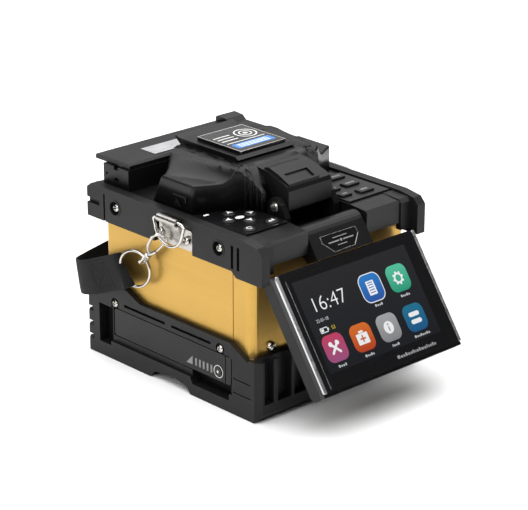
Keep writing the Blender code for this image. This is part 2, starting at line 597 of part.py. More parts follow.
def splicing_well(aluminium, black, steel):
    floor = WELL_FLOOR + GAP
    tip = 106.8  # height of the arc
    needle_bore = rod((0, tip), "Y", 1.35, -5, 32, 10)
    node("splice_base", aluminium, [block((-11, 11), (-2, 28), (floor, 103.0))],
         join=[[block((-4.5, 4.5), (-2, 5.5), (102, 110))], [block((-4.5, 4.5), (20.5, 28), (102, 110))]],
         cut=[[needle_bore]])
    groove = [(9.5, 103.3), (16.5, 103.3), (16.5, 107.6), (13.9, 107.6), (13.0, 106.2), (12.1, 107.6), (9.5, 107.6)]
    node("v_groove_block", steel, [prism(groove, "X", -9.5, -2.2)],
         join=[[prism(groove, "X", 2.2, 9.5)], [block((-3, 3), (9.5, 16.5), (103.3, 104.6))]])
    node("electrode_front", steel, [turned((0, tip), "Y", [(-1.5, 1.0), (6.5, 1.0), (9.3, 0.15)], 10)])
    node("electrode_rear", steel, [turned((0, tip), "Y", [(27.5, 1.0), (19.5, 1.0), (16.7, 0.15)], 10)])
    table = prism([(3, floor), (23, floor), (23, 103.4), (27, 103.4), (27, 107.0), (15, 107.0), (13, 105.6),
                   (11, 107.0), (3, 107.0)], "X", -33, -13.5)
    stages = pair("fibre_stage", aluminium, [table])
    lid = prism([(4, 107.4), (20.5, 107.4), (20.5, 110.2), (6, 110.2), (4, 109.0)], "X", -31, -15.5)
    knuckle = rod((24.9, 109.9), "X", 1.4, -31, -15.5, 10)
    bridge = prism([(20, 108.2), (24.9, 108.7), (24.9, 111.0), (20, 110.2)], "X", -31, -15.5)
    lids = pair("fibre_lid", black, [lid], join=[[bridge], [knuckle]])
    for side, stage, cap in zip((-1, 1), stages, lids):
        pivot(f"{stage.name}_feed", (side * 23, 13, floor), stage)
        pivot(f"{cap.name}_hinge", (side * 23, 24.9, 109.9), cap)


# ---------------------------------------------------------------- tube heater

def heater(plastic, aluminium, steel):
    y, z = HEATER_AXIS
    bottom = DECK_TOP + GAP
    trough = block((-52, 52), (60, 72), (115.5, 140))
    ends = block((-70, 70), (64, 68), (123.6, 140))
    dents = [rod((74.8, 119.8), "X", 1.0, -64, -58.5, 10), block((-64, -58.5), (63.0, 67.4), (116.4, 118.8))]
    lugs = [prism([(HEATER_BACK - 1, 114), (y, z - 3.2), (y + 3.0, z - 1.5), (y + 3.0, z + 1.5), (y, z + 2.8),
                   (HEATER_BACK - 1, z + 2.8)], "X", x - 4, x + 4) for x in (-32, 32)]
    node("heater_housing", plastic, [block((-HEATER_HALF, HEATER_HALF), (HEATER_FRONT, HEATER_BACK),
                                           (bottom, HEATER_TOP))],
         join=[[s] for s in lugs], cut=[[trough], [ends], dents, [rod((y, z), "X", 1.8, -40, 40, 12)]])
    channel = [(60.6, 115.8), (71.4, 115.8), (71.4, 121.5), (70.2, 121.5), (70.2, 117.2), (61.8, 117.2),
               (61.8, 121.5), (60.6, 121.5)]
    node("heater_plate", steel, [prism(channel, "X", -51, 51)])
    top = [(55, 126.1), (88, 126.1), (88, 128.6), (86.5, 129.5), (56.5, 129.5), (55, 128.3)]
    knuckle = [(y - 3.6, 126.4), (y - 2.6, z - 1.5), (y, z - 2.8), (y + 2.6, z - 1.5), (y + 5.5, 124.2), (88, 126.4)]
    hump = prism([(74, 128.9), (78, 132.2), (86, 132.8), (88, 131.5), (88, 128.0)], "X", 43, 58)
    lid = node("heater_lid", plastic, [prism(top, "X", -58, 58)],
               join=[[prism(knuckle, "X", -46, -37)], [prism(knuckle, "X", 37, 46)], [hump]],
               cut=[[block((-33.4, 33.4), (59.6, 74.4), (128.7, 135))], [rod((y, z), "X", 1.8, -50, 50, 12)]])
    inset = node("heater_lid_plate", aluminium, [block((-33, 33), (60, 74), (129.0, 129.8))])
    pivot("heater_lid_hinge", (0, y, z), lid, inset)
    node("heater_pin", steel, [rod((y, z), "X", 1.4, -47, 47, 12)])


# ---------------------------------------------------------------- screen

def screen(plastic, gloss, glass, steel):
    """The panel is drawn upright, with its glass at y = 0 below z = 0, then leaned out and put in place."""
    lean = Matrix.Translation((0, *SCREEN_TOP)) @ Matrix.Rotation(math.radians(-SCREEN_TILT), 4, "X")
    low = -GLASS_HEIGHT - 1.6

    def leaned(*shapes):
        return [moved(s, lean) for s in shapes]

    frame = node("screen_front_frame", gloss, leaned(block((-SCREEN_HALF, SCREEN_HALF), (2.0, 6.0), (low, 1.0))),
                 cut=[leaned(block((-48.2, 48.2), (-5, 10), (-65.6, -7.6)))])
    pane = node("screen_glass", glass, leaned(prism([(x, z) for x, z in rounded((-GLASS_HALF, GLASS_HALF),
                (-GLASS_HEIGHT, 0), 1.0, 2)], "Y", 0.2, 1.7)))
    panel = node("lcd_panel", gloss, leaned(block((-47.8, 47.8), (2.2, 5.6), (-65.2, -8.0))))
    shell = [(6.3, low), (SCREEN_DEPTH - 3, low), (SCREEN_DEPTH, low + 3), (SCREEN_DEPTH, -4), (SCREEN_DEPTH - 4, 1),
             (6.3, 1)]
    back = node("screen_back_housing", plastic, leaned(prism(shell, "X", -SCREEN_HALF, SCREEN_HALF)),
                cut=[leaned(block((-SCREEN_HALF + 2, SCREEN_HALF - 2), (0, SCREEN_DEPTH - 2.2), (low + 4, -5)))])
    y, z = SCREEN_AXIS
    up = math.radians(90 - SCREEN_TILT)
    ahead = Vector((-math.sin(up), math.cos(up)))  # out of the glass, as (y, z)
    rise = Vector((math.cos(up), math.sin(up)))  # up along the glass
    centre = Vector((y, z))
    foot = Vector(SCREEN_TOP) + rise * 1.35
    start = math.degrees(math.atan2(ahead.y, ahead.x))
    arc = [centre + NECK_RADIUS * Vector((math.cos(math.radians(a)), math.sin(math.radians(a))))
           for a in [start - 15 * i for i in range(17)]]
    face = centre + ahead * NECK_RADIUS
    reach = (face - foot).dot(rise)
    front_foot = face - rise * reach
    outline = arc + [Vector((-64.6, 92.2)), Vector((-67.6, 88.8)) + rise * 0.5, front_foot]
    neck = node("screen_neck", plastic, [prism([tuple(p) for p in outline], "X", -NECK_HALF, NECK_HALF)],
                cut=[[rod((y, z), "X", 2.3, -30, 30, 12)]])
    pivot("screen_hinge", (0, y, z), frame, pane, panel, back, neck)
    node("screen_pin", steel, [rod((y, z), "X", 1.9, -31, 31, 12)])


def build():
    for old in list(bpy.data.objects):
        bpy.data.objects.remove(old, do_unlink=True)
    rubber = finish("rubber", (0.028, 0.028, 0.030), 0.62)
    plastic = finish("black_plastic", (0.035, 0.035, 0.038), 0.48)
    gloss = finish("gloss_black", (0.010, 0.010, 0.012), 0.18)
    grey = finish("dark_grey_plastic", (0.060, 0.060, 0.063), 0.5)
    gold = finish("gold_anodised", (0.62, 0.40, 0.10), 0.36, 0.85)
    nickel = finish("nickel", (0.75, 0.73, 0.70), 0.2, 1.0)
    aluminium = finish("aluminium", (0.6, 0.6, 0.62), 0.4, 1.0)
    circuit = finish("circuit_board", (0.02, 0.12, 0.06), 0.5)
    glass = finish("black_glass", (0.008, 0.008, 0.010), 0.05)
    webbing = finish("black_webbing", (0.02, 0.02, 0.022), 0.85)

    tray(rubber)
    battery(plastic, gloss)
    sleeve(gold)
    electronics(aluminium, circuit, plastic)
    deck(plastic)
    fascia(plastic)
    pair("side_bumper", rubber, **bumper_shapes())
    strap_set(nickel, webbing)
    keypads(gloss, plastic, grey)
    windshield(plastic, nickel, gloss)
    splicing_well(aluminium, plastic, nickel)
    heater(plastic, aluminium, nickel)
    screen(plastic, gloss, glass, nickel)


build()
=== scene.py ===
"""Looks of the fibre fusion splicer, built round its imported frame. Metres, +Z up, screen towards -Y."""
import json
import math

import bmesh
import bpy
from mathutils import Matrix, Vector


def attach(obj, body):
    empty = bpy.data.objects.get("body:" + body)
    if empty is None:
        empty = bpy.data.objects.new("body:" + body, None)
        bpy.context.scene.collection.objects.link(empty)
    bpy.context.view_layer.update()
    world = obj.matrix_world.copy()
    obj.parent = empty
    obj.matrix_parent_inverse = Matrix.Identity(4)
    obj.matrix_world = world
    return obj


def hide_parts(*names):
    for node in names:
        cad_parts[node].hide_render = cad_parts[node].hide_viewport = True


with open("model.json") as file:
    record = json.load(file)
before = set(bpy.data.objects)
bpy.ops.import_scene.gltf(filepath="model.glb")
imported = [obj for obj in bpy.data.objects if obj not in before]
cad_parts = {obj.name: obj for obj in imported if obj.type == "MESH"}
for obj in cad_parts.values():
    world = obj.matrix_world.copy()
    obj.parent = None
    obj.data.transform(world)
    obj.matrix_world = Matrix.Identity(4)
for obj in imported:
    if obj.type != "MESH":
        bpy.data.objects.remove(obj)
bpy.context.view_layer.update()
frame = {"nodes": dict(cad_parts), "record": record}
NODES = frame["nodes"]
SLOTS = {part["node"]: part["material_slot"] for part in frame["record"]["subparts"]}
MM = 0.001
SCENE = bpy.context.scene


# ---------------------------------------------------------------- camera

def add_camera():
    back = Vector((-0.6383, -0.6821, 0.3567)).normalized()
    camera = bpy.data.objects.new("camera", bpy.data.cameras.new("camera"))
    camera.location = Vector((-0.8797, -0.9444, 0.5630))
    camera.rotation_euler = (-back).to_track_quat("-Z", "Y").to_euler()
    camera.data.sensor_width = 36.0
    camera.data.lens = 150.6
    camera.data.clip_end = 20.0
    SCENE.collection.objects.link(camera)
    SCENE.camera = camera


add_camera()


# ---------------------------------------------------------------- materials

class Shader:
    """A procedural material: a Principled shader and the nodes that feed it."""

    def __init__(self, name, roughness=0.5, metallic=0.0, **fixed):
        self.material = bpy.data.materials.new(name)
        self.material.use_nodes = True
        self.tree = self.material.node_tree
        self.surface = self.tree.nodes["Principled BSDF"]
        self.surface.inputs["Roughness"].default_value = roughness
        self.surface.inputs["Metallic"].default_value = metallic
        for socket, value in fixed.items():
            self.surface.inputs[socket.replace("_", " ")].default_value = value
        self.place = self.tree.nodes.new("ShaderNodeTexCoord").outputs["Object"]
        self.normal = None

    def node(self, kind, **values):
        """A node of this kind: names in capitals are its sockets, the others its settings."""
        made = self.tree.nodes.new("ShaderNode" + kind)
        for key, value in values.items():
            if not key[0].isupper():
                setattr(made, key, value)
            elif isinstance(value, bpy.types.NodeSocket):
                self.tree.links.new(value, made.inputs[key.replace("_", " ")])
            else:
                made.inputs[key.replace("_", " ")].default_value = value
        return made

    def stretched(self, scale, turn=(0, 0, 0)):
        return self.node("Mapping", Vector=self.place, Scale=scale, Rotation=turn).outputs["Vector"]

    def noise(self, scale, detail=3.0, rough=0.5, vector=None):
        return self.node("TexNoise", Vector=vector or self.place, Scale=scale, Detail=detail,
                         Roughness=rough).outputs["Fac"]

    def ramp(self, value, stops, how="LINEAR"):
        """stops is [(place, colour or grey), ...]"""
        made = self.node("ValToRGB", Fac=value)
        ramp = made.color_ramp
        ramp.interpolation = how
        while len(ramp.elements) < len(stops):
            ramp.elements.new(0.5)
        for element, (at, colour) in zip(ramp.elements, stops):
            element.position = at
            element.color = (*colour, 1) if hasattr(colour, "__len__") else (colour, colour, colour, 1)
        return made.outputs["Color"]

    def maths(self, operation, a, b=0.0):
        made = self.node("Math", operation=operation)
        for socket, value in zip(made.inputs, (a, b)):
            if isinstance(value, bpy.types.NodeSocket):
                self.tree.links.new(value, socket)
            else:
                socket.default_value = value
        return made.outputs["Value"]

    def blend(self, share, a, b):
        made = self.node("Mix", data_type="RGBA")
        for index, value in ((0, share), (6, a), (7, b)):
            if isinstance(value, bpy.types.NodeSocket):
                self.tree.links.new(value, made.inputs[index])
            else:
                made.inputs[index].default_value = value if index == 0 else (*value, 1)
        return made.outputs[2]

    def feed(self, socket, output):
        self.tree.links.new(output, self.surface.inputs[socket])
        return self

    def bump(self, height, strength, distance):
        """distance is in metres. Bumps stack on each other."""
        made = self.node("Bump", Height=height, Strength=strength, Distance=distance)
        if self.normal is not None:
            self.tree.links.new(self.normal, made.inputs["Normal"])
        self.normal = made.outputs["Normal"]
        return self.feed("Normal", self.normal)

    def edges(self, radius, low, high):
        """A mask that is 1 along the piece's edges and broken up by noise, for edges lightened partly by wear and
        partly as a painted highlight.
        """
        round_normal = self.node("Bevel", samples=4, Radius=radius).outputs["Normal"]
        flat_normal = self.node("NewGeometry").outputs["Normal"]
        alike = self.node("VectorMath", operation="DOT_PRODUCT")
        self.tree.links.new(round_normal, alike.inputs[0])
        self.tree.links.new(flat_normal, alike.inputs[1])
        edge = self.ramp(self.maths("SUBTRACT", 1.0, alike.outputs["Value"]), [(low, 0.0), (high, 1.0)])
        patch = self.ramp(self.noise(160, 4, 0.6), [(0.38, 0.15), (0.66, 1.0)])
        return self.maths("MULTIPLY", edge, patch)


def scaled(colour, factor, lift=0.0):
    return tuple(min(1.0, c * factor + lift) for c in colour)


def moulded(name, colour, roughness, grain=0.5, grain_size=1300, spread=0.05, specular=0.4, **fixed):
    """Moulded plastic or rubber: a fine spark-eroded grain, faint mottling, and edges lightened partly by wear and
    partly as a painted highlight.
    """
    made = Shader(name, roughness, Specular_IOR_Level=specular, **fixed)
    mottle = made.ramp(made.noise(60, 4, 0.55), [(0.3, 0.0), (0.75, 1.0)])
    base = made.blend(mottle, scaled(colour, 0.9), scaled(colour, 1.14))
    speck = made.ramp(made.noise(1700, 1, 0.5), [(0.6, 0.0), (0.75, 1.0)])
    base = made.blend(made.maths("MULTIPLY", speck, 0.35), base, scaled(colour, 1.7, 0.004))
    # Painted highlight and wear: the edges are lightened towards a paler grey, which stands for edge highlights as
    # well as rubbing.
    rubbed_and_highlit = made.maths("MULTIPLY", made.edges(0.0007, 0.02, 0.22), 0.55)
    made.feed("Base Color", made.blend(rubbed_and_highlit, base, scaled(colour, 2.2, 0.022)))
    handled = made.ramp(made.noise(22, 3, 0.6), [(0.3, roughness - spread), (0.75, roughness + spread)])
    made.feed("Roughness", handled)
    return made.bump(made.noise(grain_size, 2, 0.65), grain, 0.0001)


def metal(name, colour, roughness, brush=None, tarnish=0.2):
    """Plated or machined metal with faint stains, and a brushed grain where brush gives its direction."""
    made = Shader(name, roughness, 1.0)
    stain = made.ramp(made.noise(70, 5, 0.6), [(0.35, 0.0), (0.65, 1.0)])
    made.feed("Base Color", made.blend(stain, scaled(colour, 1 - tarnish), colour))
    made.feed("Roughness",
              made.ramp(made.noise(160, 4, 0.6), [(0.3, roughness * 0.8), (0.8, roughness * 1.4)]))
    if brush:
        return made.bump(made.noise(1, 3, 0.6, made.stretched(brush)), 0.25, 0.00006)
    return made.bump(made.noise(700, 2, 0.5), 0.05, 0.00005)


def anodised_gold():
    """Bead-blasted, gold-anodised aluminium with a fine even sparkle and long faint streaks."""
    gold = (0.50, 0.305, 0.072)
    made = Shader("gold_anodised", 0.36, 0.9)
    streak = made.noise(1, 2, 0.45, made.stretched((9, 9, 160)))
    soft = made.blend(made.ramp(streak, [(0.25, 0.0), (0.75, 1.0)]), scaled(gold, 0.955),
                      scaled(gold, 1.045))
    spark = made.ramp(made.noise(2400, 1, 0.4), [(0.5, 0.0), (0.72, 1.0)])
    made.feed("Base Color", made.blend(made.maths("MULTIPLY", spark, 0.16), soft, (0.80, 0.58, 0.22)))
    made.feed("Roughness", made.ramp(made.noise(30, 3, 0.5), [(0.3, 0.34), (0.7, 0.41)]))
    return made.bump(made.noise(2200, 2, 0.5), 0.18, 0.00005)


def woven(name, colour):
    """Flat woven webbing, with painted shade in the weave's hollows and painted highlight on its crowns. The strap's
    own coordinates run across and along it, in metres.
    """
    made = Shader(name, 0.85, Sheen_Weight=0.06, Sheen_Roughness=0.5, Specular_IOR_Level=0.15)
    split = made.node("SeparateXYZ", Vector=made.node("UVMap", uv_map="strap").outputs["UV"])
    across, along = split.outputs["X"], split.outputs["Y"]
    herring = made.maths("ADD", across, made.maths("MULTIPLY", made.maths("PINGPONG", along, 0.0031), 0.5))
    warp = made.maths("SINE", made.maths("MULTIPLY", herring, 2 * math.pi / 0.0013))
    weft = made.maths("SINE", made.maths("MULTIPLY", along, 2 * math.pi / 0.0011))
    yarn = made.maths("MULTIPLY", made.maths("ADD", warp, made.maths("MULTIPLY", weft, 0.6)), 0.3)
    height = made.maths("ADD", made.maths("ADD", yarn, 0.5),
                        made.maths("MULTIPLY", made.noise(2600, 3, 0.6), 0.3))
    # Painted shade and highlight: the yarn's height darkens the weave's hollows and lightens its crowns.
    weave_shade_and_highlight = made.blend(made.ramp(height, [(0.2, 0.0), (1.0, 1.0)]), scaled(colour, 0.6),
                      scaled(colour, 1.8, 0.002))
    dust = made.maths("MULTIPLY", made.noise(90, 4, 0.6), 0.25)
    made.feed("Base Color", made.blend(dust, weave_shade_and_highlight, scaled(colour, 2.0, 0.004)))
    return made.bump(height, 0.55, 0.00025)


def circuit_board():
    made = Shader("circuit", 0.42)
    cells = made.node("TexVoronoi", Vector=made.place, Scale=340.0,
                      distance="CHEBYCHEV").outputs["Distance"]
    lines = made.ramp(cells, [(0.28, 0.0), (0.32, 1.0)], "CONSTANT")
    made.feed("Base Color", made.blend(lines, (0.012, 0.10, 0.045), (0.02, 0.16, 0.07)))
    return made.bump(lines, 0.2, 0.00005)


def printed(name, colour, roughness=0.5, wear=0.3):
    """Screen-printed ink, slightly uneven in density."""
    made = Shader(name, roughness)
    thin = made.ramp(made.noise(900, 3, 0.6), [(0.3, 1.0), (0.62, 0.0)])
    made.feed("Base Color", made.blend(made.maths("MULTIPLY", thin, wear), colour, scaled(colour, 0.55)))
    return made.bump(made.noise(1500, 2), 0.1, 0.00002)


def lit(name, low_colour, high_colour, low, high, power=1.0):
    """A lit patch of the display, whose colour runs from low to high up the panel, in metres."""
    made = Shader(name, 0.12, Coat_Weight=0.5, Coat_Roughness=0.04, Specular_IOR_Level=0.3)
    height = made.node("SeparateXYZ", Vector=made.place).outputs["Z"]
    share = made.node("MapRange", Value=height, From_Min=low, From_Max=high).outputs["Result"]
    glow = made.blend(share, low_colour, high_colour)
    grain = made.ramp(made.noise(3000, 1), [(0.3, 0.94), (0.7, 1.0)])
    made.feed("Emission Color", made.blend(grain, (0, 0, 0), glow))
    made.surface.inputs["Emission Strength"].default_value = power
    made.surface.inputs["Base Color"].default_value = (0.004, 0.004, 0.005, 1)
    return made.bump(made.noise(120, 2), 0.01, 0.00002)


BLACK = (0.0048, 0.0048, 0.0052)
LOOKS = {
    "rubber": moulded("rubber", (0.0056, 0.0056, 0.0060), 0.45, 0.6, 1150, specular=0.24).material,
    "black_plastic": moulded("black_plastic", BLACK, 0.34, 0.5, specular=0.25).material,
    "cover_plastic": moulded("cover_plastic", (0.0042, 0.0042, 0.0045), 0.34, 0.35, specular=0.25).material,
    "battery_plastic": moulded("battery_plastic", (0.0058, 0.0058, 0.0062), 0.42, 0.5,
                               specular=0.28).material,
    "gloss_black": moulded("gloss_black", (0.0038, 0.0038, 0.0043), 0.22, 0.05, 600, 0.03, 0.4).material,
    "key_grey": moulded("key_grey", (0.0090, 0.0090, 0.0096), 0.42, 0.4, specular=0.34).material,
    "gold_anodised": anodised_gold().material,
    "nickel": metal("nickel", (0.62, 0.595, 0.56), 0.20).material,
    "lug_nickel": metal("lug_nickel", (0.50, 0.48, 0.45), 0.30, (60, 60, 700)).material,
    "aluminium": metal("aluminium", (0.74, 0.74, 0.76), 0.34, (40, 900, 900)).material,
    "steel": metal("steel", (0.58, 0.58, 0.60), 0.26, (60, 700, 60)).material,
    "circuit": circuit_board().material,
    "black_glass": moulded("black_glass", (0.0026, 0.0026, 0.0032), 0.06, 0.004, 300, 0.02, 0.5,
                           Coat_Weight=0.6, Coat_Roughness=0.03).material,
    "webbing": woven("webbing", (0.0040, 0.0040, 0.0044)).material,
    "ink_white": printed("ink_white", (0.78, 0.78, 0.77)).material,
    "ink_grey": printed("ink_grey", (0.22, 0.22, 0.225)).material,
    "ink_blue": printed("ink_blue", (0.045, 0.19, 0.55)).material,
    "thread": moulded("thread", (0.010, 0.010, 0.011), 0.7, 0.8, 3000).material,
    "key_black": moulded("key_black", (0.0050, 0.0050, 0.0055), 0.5, 0.3, specular=0.3).material,
    "satin_trim": metal("satin_trim", (0.70, 0.70, 0.71), 0.30, (900, 60, 30)).material,
}


# ---------------------------------------------------------------- shapes: each is (vertices, faces), in mm

def place(point, axis, along):
    a, b = point
    return {"X": (along, a, b), "Y": (a, along, b), "Z": (a, b, along)}[axis]


def prism(outline, axis, low, high):
    """An outline carried straight along an axis."""
    count = len(outline)
    verts = [place(p, axis, low) for p in outline] + [place(p, axis, high) for p in outline]
    faces = [tuple(range(count)), tuple(range(2 * count - 1, count - 1, -1))]
    faces += [(i, i + count, (i + 1) % count + count, (i + 1) % count) for i in range(count)]
    return verts, faces


def block(x, y, z):
    return prism([(x[0], y[0]), (x[1], y[0]), (x[1], y[1]), (x[0], y[1])], "Z", z[0], z[1])


def circle(centre, radius, sides=32, start=0.0):
    turns = [start + 2 * math.pi * i / sides for i in range(sides)]
    return [(centre[0] + radius * math.cos(t), centre[1] + radius * math.sin(t)) for t in turns]


def ring(outline, inner, axis, low, high):
    """A flat frame between two outlines with the same number of points."""
    count = len(outline)
    verts = [place(p, axis, at) for at in (low, high) for line in (outline, inner) for p in line]
    faces = []
    for i in range(count):
        j = (i + 1) % count
        for a, b in ((0, count), (count, 3 * count), (3 * count, 2 * count), (2 * count, 0)):
            faces.append((a + i, a + j, b + j, b + i))
    return verts, faces


def turned(centre, axis, profile, sides=28):
    """A turned piece: profile is [(place on the axis, radius), ...] from one end to the other."""
    verts = [place(p, axis, along) for along, radius in profile for p in circle(centre, radius, sides)]
    faces = [tuple(range(sides)), tuple(range((len(profile) - 1) * sides, len(profile) * sides))]
    for i in range(len(profile) - 1):
        for k in range(sides):
            m = (k + 1) % sides
            faces.append((i * sides + k, i * sides + m, (i + 1) * sides + m, (i + 1) * sides + k))
    return verts, faces


def rounded(x, y, radius, steps=6):
    """A rectangle's outline with round corners."""
    points = []
    for cx, cy, start in ((x[1], y[1], 0), (x[0], y[1], 90), (x[0], y[0], 180), (x[1], y[0], 270)):
        ox = cx - radius * (1 if cx == x[1] else -1)
        oy = cy - radius * (1 if cy == y[1] else -1)
        turns = [math.radians(start + 90 * i / steps) for i in range(steps + 1)]
        points += [(ox + radius * math.cos(t), oy + radius * math.sin(t)) for t in turns]
    return points


def spline(points, steps=6, closed=False):
    """A smooth line through the points."""
    points = [Vector(p) for p in points]
    count = len(points)
    spans = count if closed else count - 1
    line = []
    for i in range(spans):
        p1, p2 = points[i], points[(i + 1) % count]
        p0 = points[i - 1] if closed or i else p1
        p3 = points[(i + 2) % count] if closed or i < count - 2 else p2
        for s in range(steps):
            t = s / steps
            line.append(0.5 * (2 * p1 + (p2 - p0) * t + (2 * p0 - 5 * p1 + 4 * p2 - p3) * t * t
                               + (3 * p1 - p0 - 3 * p2 + p3) * t ** 3))
    return line if closed else line + [points[-1]]


def wire(path, normal, radius, sides=14, closed=False):
    """A round wire along a path that lies in a plane with this normal."""
    path = [Vector(p) for p in path]
    normal = Vector(normal).normalized()
    count = len(path)
    verts, faces = [], []
    for i, point in enumerate(path):
        before = path[i - 1] if closed or i > 0 else point
        after = path[(i + 1) % count] if closed or i < count - 1 else point
        side = normal.cross((after - before).normalized()).normalized()
        for k in range(sides):
            t = 2 * math.pi * k / sides
            verts.append(tuple(point + radius * (math.cos(t) * side + math.sin(t) * normal)))
    for i in range(count if closed else count - 1):
        here, there = i * sides, ((i + 1) % count) * sides
        for k in range(sides):
            m = (k + 1) % sides
            faces.append((here + k, here + m, there + m, there + k))
    if not closed:
        faces += [tuple(range(sides)), tuple(range((count - 1) * sides, count * sides))]
    return verts, faces


def moved(shape, matrix):
    verts, faces = shape
    return [tuple(matrix @ Vector(v)) for v in verts], faces


def mirrored(shape):
    verts, faces = shape
    return [(-x, y, z) for x, y, z in verts], faces


# ---------------------------------------------------------------- pieces

def round_edges(obj, width, segments=2):
    change = obj.modifiers.new("round_edges", "BEVEL")
    change.width = width * MM
    change.segments = segments
    change.limit_method = "ANGLE"
    change.angle_limit = math.radians(32)
    change.harden_normals = True


def mesh_of(name, shapes):
    mesh = bpy.data.meshes.new(name)
    verts, faces = [], []
    for shape_verts, shape_faces in shapes:
        start = len(verts)
        verts += [tuple(MM * c for c in v) for v in shape_verts]
        faces += [tuple(start + i for i in face) for face in shape_faces]
    mesh.from_pydata(verts, [], faces)
    edit = bmesh.new()
    edit.from_mesh(mesh)
    bmesh.ops.recalc_face_normals(edit, faces=edit.faces)
    edit.to_mesh(mesh)
    edit.free()
    return mesh


def piece(name, shapes, look, body, edge=None, at=None, stands_for=(), mesh=None):
    """A piece of one or more closed shapes. at places it, in metres; stands_for names the CAD nodes it replaces."""
    made = bpy.data.objects.new(name, mesh or mesh_of(name, shapes))
    SCENE.collection.objects.link(made)
    if at is not None:
        made.matrix_world = at
    if mesh is None:
        made.data.materials.append(LOOKS[look])
        made.data.shade_smooth()
        made.data.set_sharp_from_angle(angle=math.radians(38))
    if edge:
        round_edges(made, edge)
    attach(made, body)
    if stands_for:
        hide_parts(*stands_for)
    return made


EDGES = {"lower_tray": 0.8, "side_bumper": 0.9, "top_deck": 0.5, "front_fascia": 1.0, "heater_housing": 0.5,
         "heater_lid": 0.5, "battery_pack": 0.4, "screen_front_frame": 0.4, "screen_back_housing": 0.9,
         "screen_glass": 0.3, "screen_neck": 0.6, "cover_roof": 0.6, "cover_arm": 1.3, "badge_plate": 0.3,
         "left_keypad_plate": 0.25, "right_keypad_plate": 0.3, "hinge_bracket": 0.6, "strap_lug": 0.3,
         "splice_base": 0.3, "fibre_stage": 0.3, "fibre_lid": 0.3, "heater_lid_plate": 0.15, "key_": 0.35,
         "heater_plate": 0.1, "v_groove_block": 0.12, "chassis_plate": 0.3, "battery_button": 0.3}


OWN_LOOKS = {"cover_arm": "cover_plastic", "cover_roof": "cover_plastic", "strap_lug_left": "lug_nickel",
             "strap_lug_right": "lug_nickel"}
OWN_LOOKS.update({name: "key_black" for name in NODES if name.startswith("key_") and SLOTS[name] == "black_plastic"})


def dress_nodes():
    for name, obj in NODES.items():
        obj.data.materials.clear()
        obj.data.materials.append(LOOKS[OWN_LOOKS.get(name, SLOTS[name])])
        obj.data.shade_smooth()
        obj.data.set_sharp_from_angle(angle=math.radians(35))
        for start, width in EDGES.items():
            if name.startswith(start) and not (start == "heater_lid" and name == "heater_lid_plate"):
                round_edges(obj, width)
                break


# ---------------------------------------------------------------- touch screen
# Panel coordinates, in mm: x across, y into the panel from its glass, z up from the glass's upper edge.

PANEL = Matrix.Translation((0, -0.0770, 0.0929)) @ Matrix.Rotation(math.radians(-34.8), 4, "X")
GLASS_FACE = 0.2
UPPER_ROW, LOWER_ROW = -24.4, -50.4
COLUMNS = (-37.6, -14.9, 7.4, 30.4)
ICON_HALF = 8.5


def on_glass(name, shapes, look):
    return piece(name, shapes, look, "screen", at=PANEL)


def flat(outline, layer):
    """A thin printed or lit shape, layer by layer above the glass."""
    return prism(outline, "Y", GLASS_FACE - 0.03 * layer, GLASS_FACE + 0.02)


def shifted(outline, x, z):
    return [(a + x, b + z) for a, b in outline]


def turned_by(outline, degrees):
    c, s = math.cos(math.radians(degrees)), math.sin(math.radians(degrees))
    return [(a * c - b * s, a * s + b * c) for a, b in outline]


def bar(x0, x1, z0, z1, radius=0.0):
    return rounded((x0, x1), (z0, z1), radius or 0.45 * min(x1 - x0, z1 - z0), 3)


def caption(x, z, widths):
    """A row of short blocks where a label stands."""
    total = sum(widths) + 0.45 * (len(widths) - 1)
    blocks, left = [], x - total / 2
    for k, width in enumerate(widths):
        high = 0.85 if k % 3 else 1.2
        blocks.append(bar(left, left + width, z - 0.75, z - 0.75 + 2 * high * 0.72))
        left += width + 0.45
    return blocks


def gear(radius, teeth=8):
    points = []
    for i in range(teeth * 4):
        t = 2 * math.pi * (i + 0.5) / (teeth * 4)
        r = radius if i % 4 < 2 else radius * 0.76
        points.append((r * math.cos(t), r * math.sin(t)))
    return points


def digits(name, text, x, z, height, width_share, look, thin=0.0):
    curve = bpy.data.curves.new(name, "FONT")
    curve.body = text
    curve.size = height * MM / 0.72
    curve.extrude = 0.03 * MM
    curve.offset = -thin * MM
    holder = bpy.data.objects.new(name + "_text", curve)
    SCENE.collection.objects.link(holder)
    bpy.context.view_layer.update()
    mesh = bpy.data.meshes.new_from_object(holder.evaluated_get(bpy.context.evaluated_depsgraph_get()))
    bpy.data.objects.remove(holder)
    stand = Matrix.Rotation(math.radians(90), 4, "X")
    mesh.transform(Matrix.Translation((x * MM, (GLASS_FACE - 0.07) * MM, z * MM)) @ stand
                   @ Matrix.Diagonal((width_share, 1, 1, 1)))
    mesh.materials.clear()
    mesh.materials.append(LOOKS[look])
    piece(name, None, look, "screen", at=PANEL, mesh=mesh)


def icon(name, column, row, low_colour, high_colour, glyph, selected=False):
    x = COLUMNS[column]
    half = ICON_HALF
    LOOKS[name] = lit(name, low_colour, high_colour, (row - half) * MM, (row + half) * MM).material
    tile = rounded((x - half, x + half), (row - half, row + half), 4.9, 8)
    on_glass(name, [flat(tile, 2)], name)
    if selected:
        outer = rounded((x - half - 0.55, x + half + 0.55), (row - half - 0.55, row + half + 0.55), 5.4, 8)
        on_glass(name + "_outline", [ring(outer, tile, "Y", GLASS_FACE - 0.08, GLASS_FACE)], "lit_white")
    on_glass(name + "_glyph", [flat(shifted(o, x, row), 4) for o in glyph], "lit_white")


